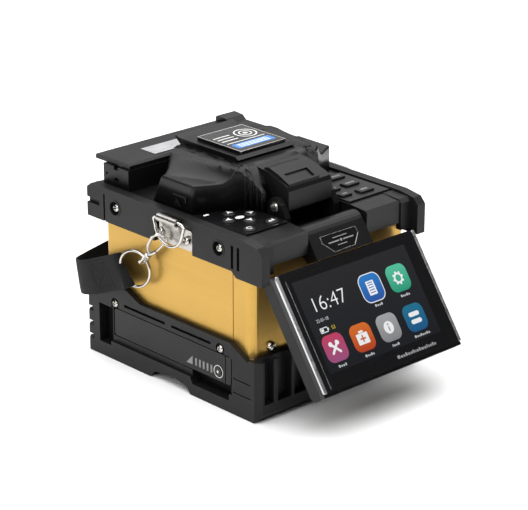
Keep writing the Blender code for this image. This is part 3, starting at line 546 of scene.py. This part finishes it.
def add_screen():
    LOOKS["lit_white"] = lit("lit_white", (0.80, 0.82, 0.82), (0.88, 0.89, 0.90), -0.07, -0.01).material
    LOOKS["lit_grey"] = lit("lit_grey", (0.50, 0.51, 0.52), (0.56, 0.57, 0.58), -0.07, -0.01).material
    LOOKS["lit_amber"] = lit("lit_amber", (0.55, 0.40, 0.02), (0.62, 0.47, 0.03), -0.045, -0.035).material
    LOOKS["lit_off"] = lit("lit_off", (0.006, 0.007, 0.009), (0.016, 0.016, 0.017), -0.06, -0.006).material
    on_glass("lcd_image", [flat(rounded((-49.2, 45.6), (-63.9, -6.2), 0.6, 2), 1)], "lit_off")
    icon("icon_tools", 0, LOWER_ROW, (0.30, 0.075, 0.20), (0.52, 0.045, 0.11),
         [turned_by(bar(-5.0, 5.0, -0.8, 0.8), 45), turned_by(bar(-5.0, 5.0, -0.8, 0.8), -45),
          turned_by(bar(2.6, 5.2, -1.6, 1.6), 45), turned_by(bar(-5.2, -2.4, -1.5, 1.5), -45)])
    icon("icon_case", 1, LOWER_ROW, (0.44, 0.045, 0.010), (0.66, 0.15, 0.018),
         [bar(-4.6, 4.6, -4.2, 2.6, 0.6), bar(-1.9, 1.9, 2.9, 4.2, 0.5)])
    on_glass("icon_case_cross", [flat(shifted(o, COLUMNS[1], LOWER_ROW - 0.8), 5) for o in
                                 (bar(-2.2, 2.2, -0.5, 0.5, 0.1), bar(-0.5, 0.5, -2.2, 2.2, 0.1))],
                                 "icon_case")
    icon("icon_info", 2, LOWER_ROW, (0.22, 0.225, 0.23), (0.36, 0.365, 0.37),
         [circle((0, 0), 3.9), ])
    on_glass("icon_info_mark", [flat(shifted(o, COLUMNS[2], LOWER_ROW), 5) for o in
                                (bar(-0.5, 0.5, -2.3, 0.7), circle((0, 2.0), 0.65, 14))], "icon_info")
    icon("icon_bench", 3, LOWER_ROW, (0.006, 0.085, 0.23), (0.010, 0.16, 0.27),
         [bar(-4.4, 4.4, 0.9, 3.7, 1.35), bar(-4.4, 4.4, -3.7, -0.9, 1.35)])
    pages = [bar(-3.4, 3.0, -4.6, 4.4, 0.5)]
    icon("icon_pages", 2, UPPER_ROW, (0.020, 0.085, 0.36), (0.020, 0.20, 0.56), pages, selected=True)
    on_glass("icon_pages_lines",
             [flat(shifted(bar(-2.4, 2.0, z - 0.28, z + 0.28), COLUMNS[2], UPPER_ROW), 5)
                                  for z in (-3.0, -1.4, 0.2, 1.8, 3.2)], "icon_pages")
    icon("icon_setup", 3, UPPER_ROW, (0.018, 0.31, 0.18), (0.09, 0.53, 0.33), [gear(4.4)])
    on_glass("icon_setup_hub", [flat(circle((COLUMNS[3], UPPER_ROW), 2.2), 5)], "icon_setup")
    labels = [(0, LOWER_ROW, (1.5, 1.2, 1.4, 1.1)), (1, LOWER_ROW, (1.7, 1.1, 0.6, 1.3, 1.0)),
              (2, LOWER_ROW, (0.7, 1.3, 1.0, 1.4)),
              (3, LOWER_ROW, (1.6, 1.2, 0.9, 1.3, 1.3, 1.2, 1.2, 1.3)),
              (2, UPPER_ROW, (1.4, 1.3, 0.9, 1.3)), (3, UPPER_ROW, (1.3, 1.2, 0.9, 1.2, 1.2))]
    on_glass("label_blocks", [flat(o, 2) for c, row, widths in labels
                              for o in caption(COLUMNS[c], row - 11.2, widths)], "lit_grey")
    digits("clock", "16:47", -43.0, -27.2, 9.3, 1.02, "lit_white", 0.2)
    digits("date", "22-01-18", -43.3, -33.4, 2.1, 0.92, "lit_grey")
    digits("charge", "53", -34.3, -39.6, 2.3, 1.0, "lit_amber")
    case = bar(-43.3, -37.2, -40.2, -36.9, 0.5)
    inside = bar(-42.8, -37.7, -39.7, -37.4, 0.3)
    on_glass("battery_sign", [ring(case, inside, "Y", GLASS_FACE - 0.07, GLASS_FACE),
                              flat(bar(-42.5, -40.5, -39.4, -37.7, 0.1), 2),
                              flat(bar(-37.0, -36.4, -39.2, -37.9, 0.1), 2)], "lit_white")
    marks = [shifted(o, 0, -69.3) for o in caption(0.0, 0.0,
                                                   (2.4, 1.6, 1.5, 1.9, 1.6, 1.5, 1.5, 0.9, 1.6, 1.6,
                                                              2.2, 1.7, 0.9, 0.9, 1.6, 1.5, 1.4))]
    on_glass("bezel_marks", [flat([(21.0 + x, -69.3 + (z + 69.3) * 1.3) for x, z in o], 2) for o in marks],
             "ink_grey")
    # Painted highlight: a satin strip on the left side only stands for the highlight along the glass's bevelled
    # edge.
    on_glass("glass_bevel_highlight", [flat(rounded((-53.3, -52.85), (-72.4, -4.4), 0.2, 2), 3)], "satin_trim")
    outer, inner = rounded((-53.1, 53.1), (-72.9, -3.0), 1.0), rounded((-52.8, 52.8), (-72.6, -3.3), 0.8)
    on_glass("glass_border", [ring(outer, inner, "Y", GLASS_FACE - 0.05, GLASS_FACE)], "gloss_black")
    for side, label in ((-1, "left"), (1, "right")):
        strip = rounded(sorted((side * 58.8, side * 56.3)), (-73.6, 0.4), 0.9)
        piece(f"screen_trim_{label}", [prism(strip, "Y", 0.5, 2.2)], "satin_trim", "screen",
              0.35, PANEL)


def add_neck_badge():
    """A six-sided chrome outline on the screen's neck, round a plain sign of two fibres meeting."""
    outline = [(-15.2, 14.2), (14.8, 14.2), (15.4, 10.0), (9.2, 3.2), (-8.6, 2.8), (-15.4, 10.2)]
    centre = Vector((0, 8.9))
    inner = [tuple(centre + (Vector(p) - centre) * 0.945) for p in outline]
    piece("neck_badge_outline", [ring(outline, inner, "Y", -0.15, 0.4)], "nickel", "screen", edge=0.12,
          at=PANEL)
    piece("neck_badge_face", [prism(inner, "Y", 0.1, 0.4)], "gloss_black", "screen", at=PANEL)
    sign = [bar(-10.5, -1.6, 8.6, 9.4), bar(1.6, 10.5, 8.6, 9.4), circle((0, 9.0), 0.9, 16),
            bar(-6.0, 6.0, 11.2, 11.7), bar(-4.0, 4.0, 6.2, 6.7)]
    piece("neck_badge_sign", [prism(o, "Y", 0.02, 0.2) for o in sign], "ink_grey", "screen",
          at=PANEL)


# ---------------------------------------------------------------- windshield

COVER_HALF, COVER_BOTTOM, DOME_HEIGHT, WING_HEIGHT = 58.0, 112.5, 138.2, 130.2
FLUTE_DEPTH = 0.75
EDGE_STEPS = (0.0, 0.06, 0.2, 0.45, 0.8, 1.3)


def smooth(value):
    value = min(1.0, max(0.0, value))
    return value * value * (3 - 2 * value)


def cover_back(x):
    return 44.0 - 19.0 * smooth((abs(x) - 27.0) / 31.0)


def fluted(start, end, ribs):
    """Plan of a wall from start to end, with upright ribs at [(from, to), ...] along it, in mm."""
    start, end = Vector(start), Vector(end)
    along = (end - start).normalized()
    out = Vector((along.y, -along.x)) * FLUTE_DEPTH
    points = [start]
    for low, high in ribs:
        points += [start + along * low, start + along * (low + 0.35) + out,
                   start + along * (high - 0.35) + out, start + along * high]
    return [tuple(p) for p in points]


def cover_plan():
    """The cover's front edge seen from above: round corner, slanting cheek, fluted nose, recess for the arm."""
    left = [(-58.0, -1.2), (-57.93, -2.2), (-57.7, -3.0), (-57.3, -3.6), (-56.7, -4.1), (-55.8, -4.6),
            (-54.2, -5.5),
            (-51.0, -7.2), (-47.5, -9.2), (-44.0, -11.2), (-41.5, -12.7), (-39.5, -13.8), (-38.0, -14.7),
            (-36.6, -15.5), (-35.4, -16.2), (-34.2, -16.8), (-32.8, -17.6)]
    left += fluted((-31.0, -18.6), (-26.9, -24.0), [(0.6, 2.9), (4.2, 6.4)])
    left += fluted((-26.7, -24.3), (-25.0, -31.2), [(1.3, 3.5), (4.9, 6.9)])
    left += [(-24.4, -31.4), (-23.1, -31.3), (-22.9, -26.5), (-18.6, -26.5), (-17.0, -20.0), (-9.0, -20.0),
             (0.0, -20.0)]
    return left + [(-x, y) for x, y in reversed(left[:-1])]


def cover_height(x, y, share, edge):
    """A dome that falls to the arm, a hollow wing on each side, and a rounded edge all round."""
    inner, outer = 34.5 + 7.5 * share, 44.0 + 12.0 * share
    out = min(1.0, max(0.0, (abs(x) - inner) / (outer - inner)))
    swell = WING_HEIGHT + (DOME_HEIGHT - WING_HEIGHT) * (1 - out) ** (2.4 - 1.2 * share)
    top = min(swell, DOME_HEIGHT - 0.8 * max(0.0, -16 - y) ** 1.05)
    radius = 0.5 if abs(x) < 32 else 1.3
    rest = radius - min(edge, radius)
    return top - radius + math.sqrt(radius ** 2 - rest ** 2)


COVER_WALL = 1.2


def add_cover():
    """The moulded shell of the windshield, with a thin wall."""
    verts, faces, plan = [], [], cover_plan()
    rows = 2 * len(EDGE_STEPS) + 18
    for x, front in plan:
        back = cover_back(x)
        near, far = front + EDGE_STEPS[-1], back - EDGE_STEPS[-1]
        ys = [front + d for d in EDGE_STEPS] + [near + (far - near) * (k + 1) / 19 for k in range(18)]
        ys += [back - d for d in reversed(EDGE_STEPS)]
        for y in ys:
            edge = min((y - front) * 0.9, COVER_HALF - abs(x), back - y)
            verts.append((x, y, cover_height(x, y, smooth((y - front) / (back - front)), edge)))
    count = len(plan)
    faces += [(i * rows + j, i * rows + j + 1, (i + 1) * rows + j + 1, (i + 1) * rows + j)
              for i in range(count - 1) for j in range(rows - 1)]
    rim = [i * rows for i in range(count)] + [(count - 1) * rows + j for j in range(1, rows)]
    rim += [i * rows + rows - 1 for i in range(count - 2, -1, -1)] + [j for j in range(rows - 2, 0, -1)]
    base = len(verts)
    for index in rim:
        x, y, _ = verts[index]
        front = plan[index // rows][1]
        share = (y - front) / (cover_back(x) - front)
        verts.append((x, y + 7.5 * smooth(share) ** 2, COVER_BOTTOM))
    faces += [(index, rim[(k + 1) % len(rim)], base + (k + 1) % len(rim),
               base + k) for k, index in enumerate(rim)]
    made = piece("windshield_shell", [(verts, faces)], "cover_plastic", "windshield",
                 stands_for=["windshield_cover"])
    wall = made.modifiers.new("wall", "SOLIDIFY")
    wall.thickness = COVER_WALL * MM
    wall.offset = -1
    made.data.set_sharp_from_angle(angle=math.radians(42))
    corner = [(13.6, 121.7), (2.2, 121.5), (2.3, 117.4), (3.1, 117.4), (3.0, 120.8), (13.6, 121.0)]
    arrow = [(10.6, 119.0), (14.0, 114.2), (7.2, 114.6)]
    piece("cover_side_mark", [prism(o, "X", -58.4, -57.8) for o in (corner, arrow)], "cover_plastic",
          "windshield", 0.1)


def add_badge_plate():
    """The plate's bright frame, a blue panel, light rules and a plain sign of a fibre's end."""
    top = 143.46
    outer, inner = rounded((-19, 19), (-4, 36.5), 1.2), rounded((-18.2, 18.2), (-3.2, 35.7), 0.8)
    piece("badge_frame", [ring(outer, inner, "Z", top - 0.5, top)], "nickel", "windshield", edge=0.12)
    piece("badge_blue", [prism(bar(-15.5, 15.5, 1.0, 9.0, 1.4), "Z", top - 0.05, top - 0.001)], "ink_blue",
          "windshield")
    rules = [bar(-12.5, 12.5, y - 0.45, y + 0.45) for y in (3.0, 5.0, 7.0)] + [bar(-15.5, 15.5, 11.4, 12.2)]
    rules += [bar(-15.5, -2.0, y - 0.5, y + 0.5) for y in (17.0, 21.0, 25.0)]
    piece("badge_rules", [prism(o, "Z", top - 0.04, top) for o in rules], "ink_white", "windshield")
    for name, big, small in (("badge_ring_large", 7.6, 6.7), ("badge_ring_small", 4.4, 3.6),
                             ("badge_core", 1.6, 0.2)):
        piece(name, [ring(circle((8.5, 22.0), big), circle((8.5, 22.0), small), "Z", top - 0.04, top)],
              "ink_white", "windshield")


# ---------------------------------------------------------------- screws

def screw_mesh(radius):
    """A pan head with a cross recess, upright at the origin."""
    profile = [(0.0, radius), (0.45 * radius, radius), (0.68 * radius, 0.86 * radius),
               (0.84 * radius, 0.6 * radius), (0.9 * radius, 0.3 * radius)]
    head = bpy.data.objects.new("head", mesh_of("screw_head", [turned((0, 0), "Z", profile, 32)]))
    arm, width = 0.56 * radius, 0.15 * radius
    cutters = []
    for k, (x, y) in enumerate(((arm, width), (width, arm))):
        cutter = bpy.data.objects.new(f"cut{k}",
                                      mesh_of("cut",
                                              [block((-x, x), (-y, y), (0.42 * radius, 3 * radius))]))
        change = head.modifiers.new(f"cut{k}", "BOOLEAN")
        change.object = cutter
        cutters.append(cutter)
    for made in [head, *cutters]:
        SCENE.collection.objects.link(made)
    bpy.context.view_layer.update()
    mesh = bpy.data.meshes.new_from_object(head.evaluated_get(bpy.context.evaluated_depsgraph_get()))
    for made in [head, *cutters]:
        bpy.data.objects.remove(made)
    mesh.materials.append(LOOKS["nickel"])
    mesh.shade_smooth()
    mesh.set_sharp_from_angle(angle=math.radians(38))
    return mesh


def add_screws():
    heads = {radius: screw_mesh(radius) for radius in (2.4, 2.7, 3.1)}
    spots = []
    for side in (-1, 1):
        spots += [((side * 66.5, y, 103.0), "X", side, 2.7) for y in (57.0, -38.4)]
        spots += [((side * 67.7, y, 39.0), "X", side, 2.4) for y in (59.0, -39.5)]
        spots += [((side * 67.2, y, 99.5), "X", side, 2.7) for y in (-9.2, 14.0)]
        spots.append(((side * 50.0, -63.4, 43.0), "Y", -1, 3.1))
    rims = []
    for side in (-1, 1):
        for spot, inner in (((57.0, 103.0), 4.5), ((-38.4, 103.0), 4.5)):
            rims.append(ring(circle(spot, inner + 1.0, 40), circle(spot, inner, 40), "X",
                             *sorted((side * 68.7, side * 69.3))))
    piece("screw_seat_rims", rims, "rubber", "machine", edge=0.12)
    for number, (point, axis, way, radius) in enumerate(spots):
        outward = Vector((way, 0, 0)) if axis == "X" else Vector((0, way, 0))
        turn = Vector((0, 0, 1)).rotation_difference(outward).to_matrix().to_4x4()
        spin = Matrix.Rotation(math.radians(17 + 41 * number), 4, "Z")
        piece(f"screw_{number + 1:02d}", None, None, "machine", mesh=heads[radius],
              at=Matrix.Translation(Vector(point) * MM) @ turn @ spin)


# ---------------------------------------------------------------- keys and legends

KEY_TOP, PLATE_TOP = 114.1, 113.1
ARROWS = {"key_back": (-43.0, -19.4, 90), "key_forward": (-42.0, -36.8, 270),
          "key_left": (-51.2, -28.3, 180), "key_right": (-33.4, -28.0, 0)}
BARS = {"key_reset": (50.4, -16.0, 3.6), "key_heat": (48.6, -30.5, 3.6), "key_set": (47.0, -44.8, 3.0),
        "key_axis": (31.8, -42.8, 2.0), "key_zoom": (33.4, -31.2, 2.0)}


def legend(name, outlines, body, low=KEY_TOP, look="ink_white"):
    piece(name, [prism(o, "Z", low - 0.1, low + 0.05) for o in outlines], look, body)


def add_legends():
    for key, (x, y, turn) in ARROWS.items():
        head = [(2.5, 0.0), (-1.5, 2.1), (-0.7, 0.0), (-1.5, -2.1)]
        legend(f"{key}_legend", [shifted(turned_by(head, turn), x, y)], key)
    hook = [(1.9, 1.7), (1.9, -0.9), (-1.1, -0.9), (-1.1, -1.9), (-2.8, -0.4), (-1.1, 1.1), (-1.1, 0.1),
            (0.9, 0.1), (0.9, 1.7)]
    legend("key_enter_legend", [shifted(hook, -33.4, -46.6)], "key_enter")
    arc = [(-52.0 + r * math.cos(t), -47.4 + r * math.sin(t)) for r, turns in ((2.0, range(0, 301, 20)),
           (1.4, range(300, -1, -20))) for t in map(math.radians, turns)]
    legend("key_return_legend", [arc], "key_return")
    legend("keypad_oval", [[(x * 1.25 + 10.5, y * 0.8 - 5.6) for x, y in circle((-42.0, -28.0), 2.6)]],
           "machine", PLATE_TOP)
    legend("power_light", [bar(-56.2, -52.2, -12.6, -10.4)], "machine", PLATE_TOP)
    for key, (x, y, half) in BARS.items():
        outlines = [bar(x - half, x + half, y - 0.55, y + 0.55)]
        if half > 2.5:
            outlines = [bar(x - half + 1.9 * i, x - half + 1.9 * i + 1.4, y - 0.95, y + 0.95, 0.3)
                        for i in range(int(half * 2 // 1.8))]
        legend(f"{key}_legend", outlines, key, KEY_TOP + 0.4, "ink_grey")


def add_battery_marks():
    """Charge marks on the battery's face: a wedge, five bars and a ring round the button."""
    face = -67.0
    shapes = [[(-6.6, 19.6), (-12.2, 19.6), (-12.2, 25.4)]]
    shapes += [bar(y - 0.75, y + 0.75, 19.8, 24.8, 0.3) for y in (-15.4, -18.9, -22.4, -25.9, -29.4)]
    piece("charge_marks", [prism(o, "X", face - 0.05, face + 0.05) for o in shapes], "ink_grey", "battery")
    spot = (-35.7, 22.4)
    piece("charge_ring", [ring(circle(spot, 4.1), circle(spot, 3.65), "X", face - 0.05, face + 0.05)],
          "ink_white", "battery")
    piece("charge_dot", [prism(circle(spot, 0.75, 16), "X", face - 0.56, face - 0.4)], "ink_white",
          "battery_button")


# ---------------------------------------------------------------- strap, rings and hooks

RING_X, RING_Z = 71.9, 110.3
BOW_MIDDLE, BOW_HALF, BOW_DROP = 2.5, 12.6, 16.5


def bow_point(turn):
    return Vector((-RING_X, BOW_MIDDLE + BOW_HALF * math.cos(turn),
                   RING_Z - 1.6 - (BOW_DROP - 1.6) * math.sin(turn) ** 0.8))


HOOK_START = bow_point(math.radians(50))
HOOK_LONG = Vector((0.0, 0.642, -0.767))
HOOK_WIDE = Vector((0.766, -0.493, -0.413)).normalized()
HOOK_FLAT = HOOK_LONG.cross(HOOK_WIDE)
EYE_PLACE, EYE_RADIUS, HOOK_RADIUS = 23.6, 3.3, 4.6
STRAP_RING_RADIUS = 11.6
RING_TURN = math.radians(13)


def hook_point(along, across):
    return HOOK_START + HOOK_LONG * along + HOOK_WIDE * across


RING_CENTRE = hook_point(EYE_PLACE + 0.7, 0) + Vector((0, 0.74, -0.67)) * STRAP_RING_RADIUS


def hook_shapes():
    bow = [hook_point(1.2 - HOOK_RADIUS * math.cos(t), -HOOK_RADIUS * math.sin(t))
           for t in [math.radians(a) for a in range(-72, 91, 18)]]
    path = bow + [hook_point(5, -4.2), hook_point(10, -3.5), hook_point(14, -1.6), hook_point(16.2, 0),
                  hook_point(20.0, 0)]
    shapes = [wire(spline(path, 4), HOOK_FLAT, 1.0)]
    heel = spline([hook_point(12.6, 3.0), hook_point(14.6, 2.0), hook_point(17.4, 0.2)], 5)
    shapes.append(wire(heel, HOOK_FLAT, 1.25))
    axis = Matrix.Translation(hook_point(17.2, 0)) @ Vector((0, 0, 1)).rotation_difference(
        HOOK_LONG).to_matrix().to_4x4()
    collar = [(0, 1.5), (0.4, 2.1), (1.4, 2.35), (1.9, 1.9), (2.3, 2.3), (3.2, 2.2), (3.6, 1.6)]
    shapes.append(moved(turned((0, 0), "Z", collar, 20), axis))
    turns = [2 * math.pi * i / 32 for i in range(32)]
    eye = [hook_point(EYE_PLACE - EYE_RADIUS * math.cos(t), 0) + Vector((EYE_RADIUS * math.sin(t), 0, 0))
           for t in turns]
    shapes.append(wire(eye, HOOK_LONG.cross(Vector((1, 0, 0))), 1.0, closed=True))
    return shapes


def d_ring_path():
    path = [(-RING_X, BOW_MIDDLE - BOW_HALF + 0.8, RING_Z), (-RING_X, BOW_MIDDLE + BOW_HALF - 0.8, RING_Z)]
    path += [bow_point(math.pi * i / 16) for i in range(1, 16)]
    return spline(path, 3, closed=True)


def split_ring_shape():
    """Two turns of wire lying on each other, as in a key ring, turned a little to face forward."""
    level, out = Vector((math.sin(RING_TURN), -math.cos(RING_TURN), 0)), Vector((-math.cos(RING_TURN),
                                                                                -math.sin(RING_TURN), 0))
    path = []
    for i in range(113):
        t = 2 * math.pi * (2 * i / 112 + 0.1)
        path.append(RING_CENTRE + level * math.cos(t) * STRAP_RING_RADIUS + Vector((0, 0, math.sin(t)))
                    * STRAP_RING_RADIUS + out * 0.66 * (i / 56 - 1))
    return wire(path, out, 0.82, 12)


STRAP_WIDTH, STRAP_THICK = 22.5, 1.45


def strap_line():
    """The strap's route from its stitched end, round the ring, along the left side and behind the machine.
    Each stop is (centre, width direction)."""
    wide = (0, 0.66, 0.75)
    stops = [((-75.3, 73.5, 54.6), (0, 0.48, 0.88)), ((-75.3, 65.0, 58.2), (0, 0.53, 0.85)),
             ((-75.6, 56.0, 62.0), (0, 0.6, 0.8)), ((-76.0, 49.0, 64.9), wide), ((-76.1, 45.2, 66.5), wide),
             ((-75.5, 43.4, 67.2), wide), ((-73.9, 42.6, 67.5), wide), ((-72.3, 43.4, 67.2), wide),
             ((-71.8, 45.2, 66.5), wide), ((-72.2, 49.0, 64.9), wide), ((-73.4, 56.0, 62.0), (0, 0.6, 0.8)),
             ((-73.6, 65.0, 58.2), (0, 0.53, 0.85)), ((-73.4, 74.5, 54.2), (0, 0.46, 0.89)),
             ((-72.6, 84.0, 50.6), (0, 0.4, 0.92)), ((-70.9, 91.0, 48.6), (0.02, 0.3, 0.95)),
             ((-67.4, 96.5, 47.6), (0.02, 0.2, 0.98)), ((-61.0, 99.5, 47.7), (-0.03, 0.08, 1)),
             ((-50.0, 101.0, 49.2), (-0.08, 0, 1)), ((-28.0, 102.2, 52.0), (-0.1, 0, 1)),
             ((0.0, 102.6, 54.0), (0, 0, 1))]
    half = [(Vector(p), Vector(w)) for p, w in stops]
    other = [(Vector((-p.x, p.y, p.z)), Vector((-w.x, w.y, w.z))) for p, w in reversed(half[:-1])]
    line = half + other
    return spline([p for p, w in line], 5), spline([w for p, w in line], 5)


def add_strap():
    width, thick = STRAP_WIDTH, STRAP_THICK
    points, wides = strap_line()
    across = [(-0.5, 0.25), (-0.46, 0.42), (-0.3, 0.5), (0, 0.5), (0.3, 0.5), (0.46, 0.42), (0.5, 0.25),
              (0.5, -0.25), (0.46, -0.42), (0.3, -0.5), (0, -0.5), (-0.3, -0.5), (-0.46, -0.42),
              (-0.5, -0.25)]
    verts, faces, run = [], [], [0.0]
    for i, point in enumerate(points):
        ahead = (points[min(i + 1, len(points) - 1)] - points[max(i - 1, 0)]).normalized()
        wide = (wides[i] - ahead * wides[i].dot(ahead)).normalized()
        out = ahead.cross(wide)
        verts += [tuple(point + wide * a * width + out * b * thick) for a, b in across]
        if i:
            run.append(run[-1] + (point - points[i - 1]).length)
    count = len(across)
    for i in range(len(points) - 1):
        for k in range(count):
            m = (k + 1) % count
            faces.append((i * count + k, i * count + m, (i + 1) * count + m, (i + 1) * count + k))
    faces += [tuple(range(count)), tuple(range((len(points) - 1) * count, len(points) * count))]
    strap = piece("strap", [(verts, faces)], "webbing", "machine", stands_for=["strap_webbing"])
    layer = strap.data.uv_layers.new(name="strap")
    for loop in strap.data.loops:
        row, k = divmod(loop.vertex_index, count)
        layer.data[loop.index].uv = (across[k][0] * width * MM, run[row] * MM)
    add_stitches(points, wides, run)


def stitch(start, end, out):
    """One raised stitch between two points."""
    middle = (start + end) / 2 + out * 0.22
    return wire(spline([start, middle, end], 3), (end - start).cross(out), 0.19, 6)


def add_stitches(points, wides, run):
    """A stitched box with a cross on each end of the strap, where it is folded back on itself."""
    width, thick = STRAP_WIDTH, STRAP_THICK

    def spot(along, across):
        i = max(k for k in range(len(run) - 1) if run[k] <= along)
        share = (along - run[i]) / (run[i + 1] - run[i])
        point = points[i].lerp(points[i + 1], share)
        wide = wides[i].normalized()
        out = Vector((-1, 0, 0))
        return point + wide * across * width + out * (thick / 2 + 0.02), out

    low, high = 2.5, 19.5
    corners = [(low, -0.4), (high, -0.4), (high, 0.4), (low, 0.4)]
    runs = [(corners[i], corners[(i + 1) % 4]) for i in range(4)]
    runs += [(corners[0], corners[2]), (corners[1], corners[3])]
    left = []
    for (a0, c0), (a1, c1) in runs:
        length = math.hypot(a1 - a0, (c1 - c0) * width)
        count = int(length / 2.3)
        for k in range(count):
            s0, s1 = (k + 0.12) / count, (k + 0.82) / count
            start, out = spot(a0 + (a1 - a0) * s0, c0 + (c1 - c0) * s0)
            end, out = spot(a0 + (a1 - a0) * s1, c0 + (c1 - c0) * s1)
            left.append(stitch(start, end, out))
    return [piece("stitches_left", left, "thread", "machine"),
            piece("stitches_right", [mirrored(s) for s in left], "thread", "machine")]


def add_hardware():
    for label, flip in (("left", lambda s: s), ("right", mirrored)):
        piece(f"snap_hook_{label}_wire", [flip(s) for s in hook_shapes()], "nickel", "machine",
              stands_for=[f"snap_hook_{label}"])
        gate = wire([hook_point(12.0, 3.1), hook_point(8.0, 3.7), hook_point(3.4, 4.1)], HOOK_FLAT, 0.8)
        piece(f"hook_gate_{label}_wire", [flip(gate)], "nickel", f"hook_gate_{label}", edge=0.15,
              stands_for=[f"hook_gate_{label}"])
        bow = wire(d_ring_path(), (1, 0, 0), 0.95, closed=True)
        piece(f"d_ring_{label}_wire", [flip(bow)], "nickel", f"d_ring_{label}",
              stands_for=[f"d_ring_{label}"])
        piece(f"strap_ring_{label}_wire", [flip(split_ring_shape())], "nickel", "machine",
              stands_for=[f"strap_ring_{label}"])


# ---------------------------------------------------------------- floor and lights

def add_stage():
    mesh = bpy.data.meshes.new("floor")
    edit = bmesh.new()
    bmesh.ops.create_grid(edit, x_segments=24, y_segments=24, size=3.0)
    edit.to_mesh(mesh)
    edit.free()
    floor = bpy.data.objects.new("floor", mesh)
    floor.location.z = -0.0002
    SCENE.collection.objects.link(floor)
    paper = Shader("floor_paper", 0.8, Specular_IOR_Level=0.2)
    paper.feed("Base Color",
               paper.ramp(paper.noise(2.5, 2), [(0.3, (0.94, 0.94, 0.94)), (0.7, (0.96, 0.96, 0.96))]))
    mesh.materials.append(paper.material)


def add_light(name, spot, aim, size, power, colour=(1, 1, 1)):
    lamp = bpy.data.lights.new(name, "AREA")
    lamp.shape = "RECTANGLE"
    lamp.size, lamp.size_y = size
    lamp.energy = power
    lamp.color = colour
    made = bpy.data.objects.new(name, lamp)
    made.location = spot
    made.rotation_euler = (Vector(aim) - Vector(spot)).to_track_quat("-Z", "Y").to_euler()
    SCENE.collection.objects.link(made)


def add_world():
    """A dark studio with a pale ceiling."""
    world = bpy.data.worlds.new("studio")
    world.use_nodes = True
    tree = world.node_tree
    sky = tree.nodes["Background"]
    split = tree.nodes.new("ShaderNodeSeparateXYZ")
    tree.links.new(tree.nodes.new("ShaderNodeTexCoord").outputs["Generated"], split.inputs["Vector"])
    ramp = tree.nodes.new("ShaderNodeValToRGB")
    tree.links.new(split.outputs["Z"], ramp.inputs["Fac"])
    tree.links.new(ramp.outputs["Color"], sky.inputs["Color"])
    for element, (at, grey) in zip(ramp.color_ramp.elements, ((0.25, 0.10), (0.85, 1.0))):
        element.position = at
        element.color = (grey, grey, grey, 1)
    sky.inputs["Strength"].default_value = 0.22
    SCENE.world = world


def add_lights():
    middle = (0, 0, 0.06)
    add_light("ceiling", (0.1, 0.1, 1.9), (0.1, 0.1, 0), (3.4, 3.4), 114)
    add_light("key", (-1.30, -0.15, 0.70), middle, (0.5, 0.8), 6)
    add_light("front", (-0.35, -1.5, 0.70), middle, (0.3, 0.6), 0.8)
    add_light("back", (1.15, 1.25, 0.80), middle, (1.2, 0.45), 1.8)
    SCENE.view_settings.view_transform = "Standard"
    SCENE.view_settings.look = "None"


dress_nodes()
add_screen()
add_neck_badge()
add_cover()
add_badge_plate()
add_screws()
add_legends()
add_battery_marks()
add_strap()
add_hardware()
add_stage()
add_world()
add_lights()
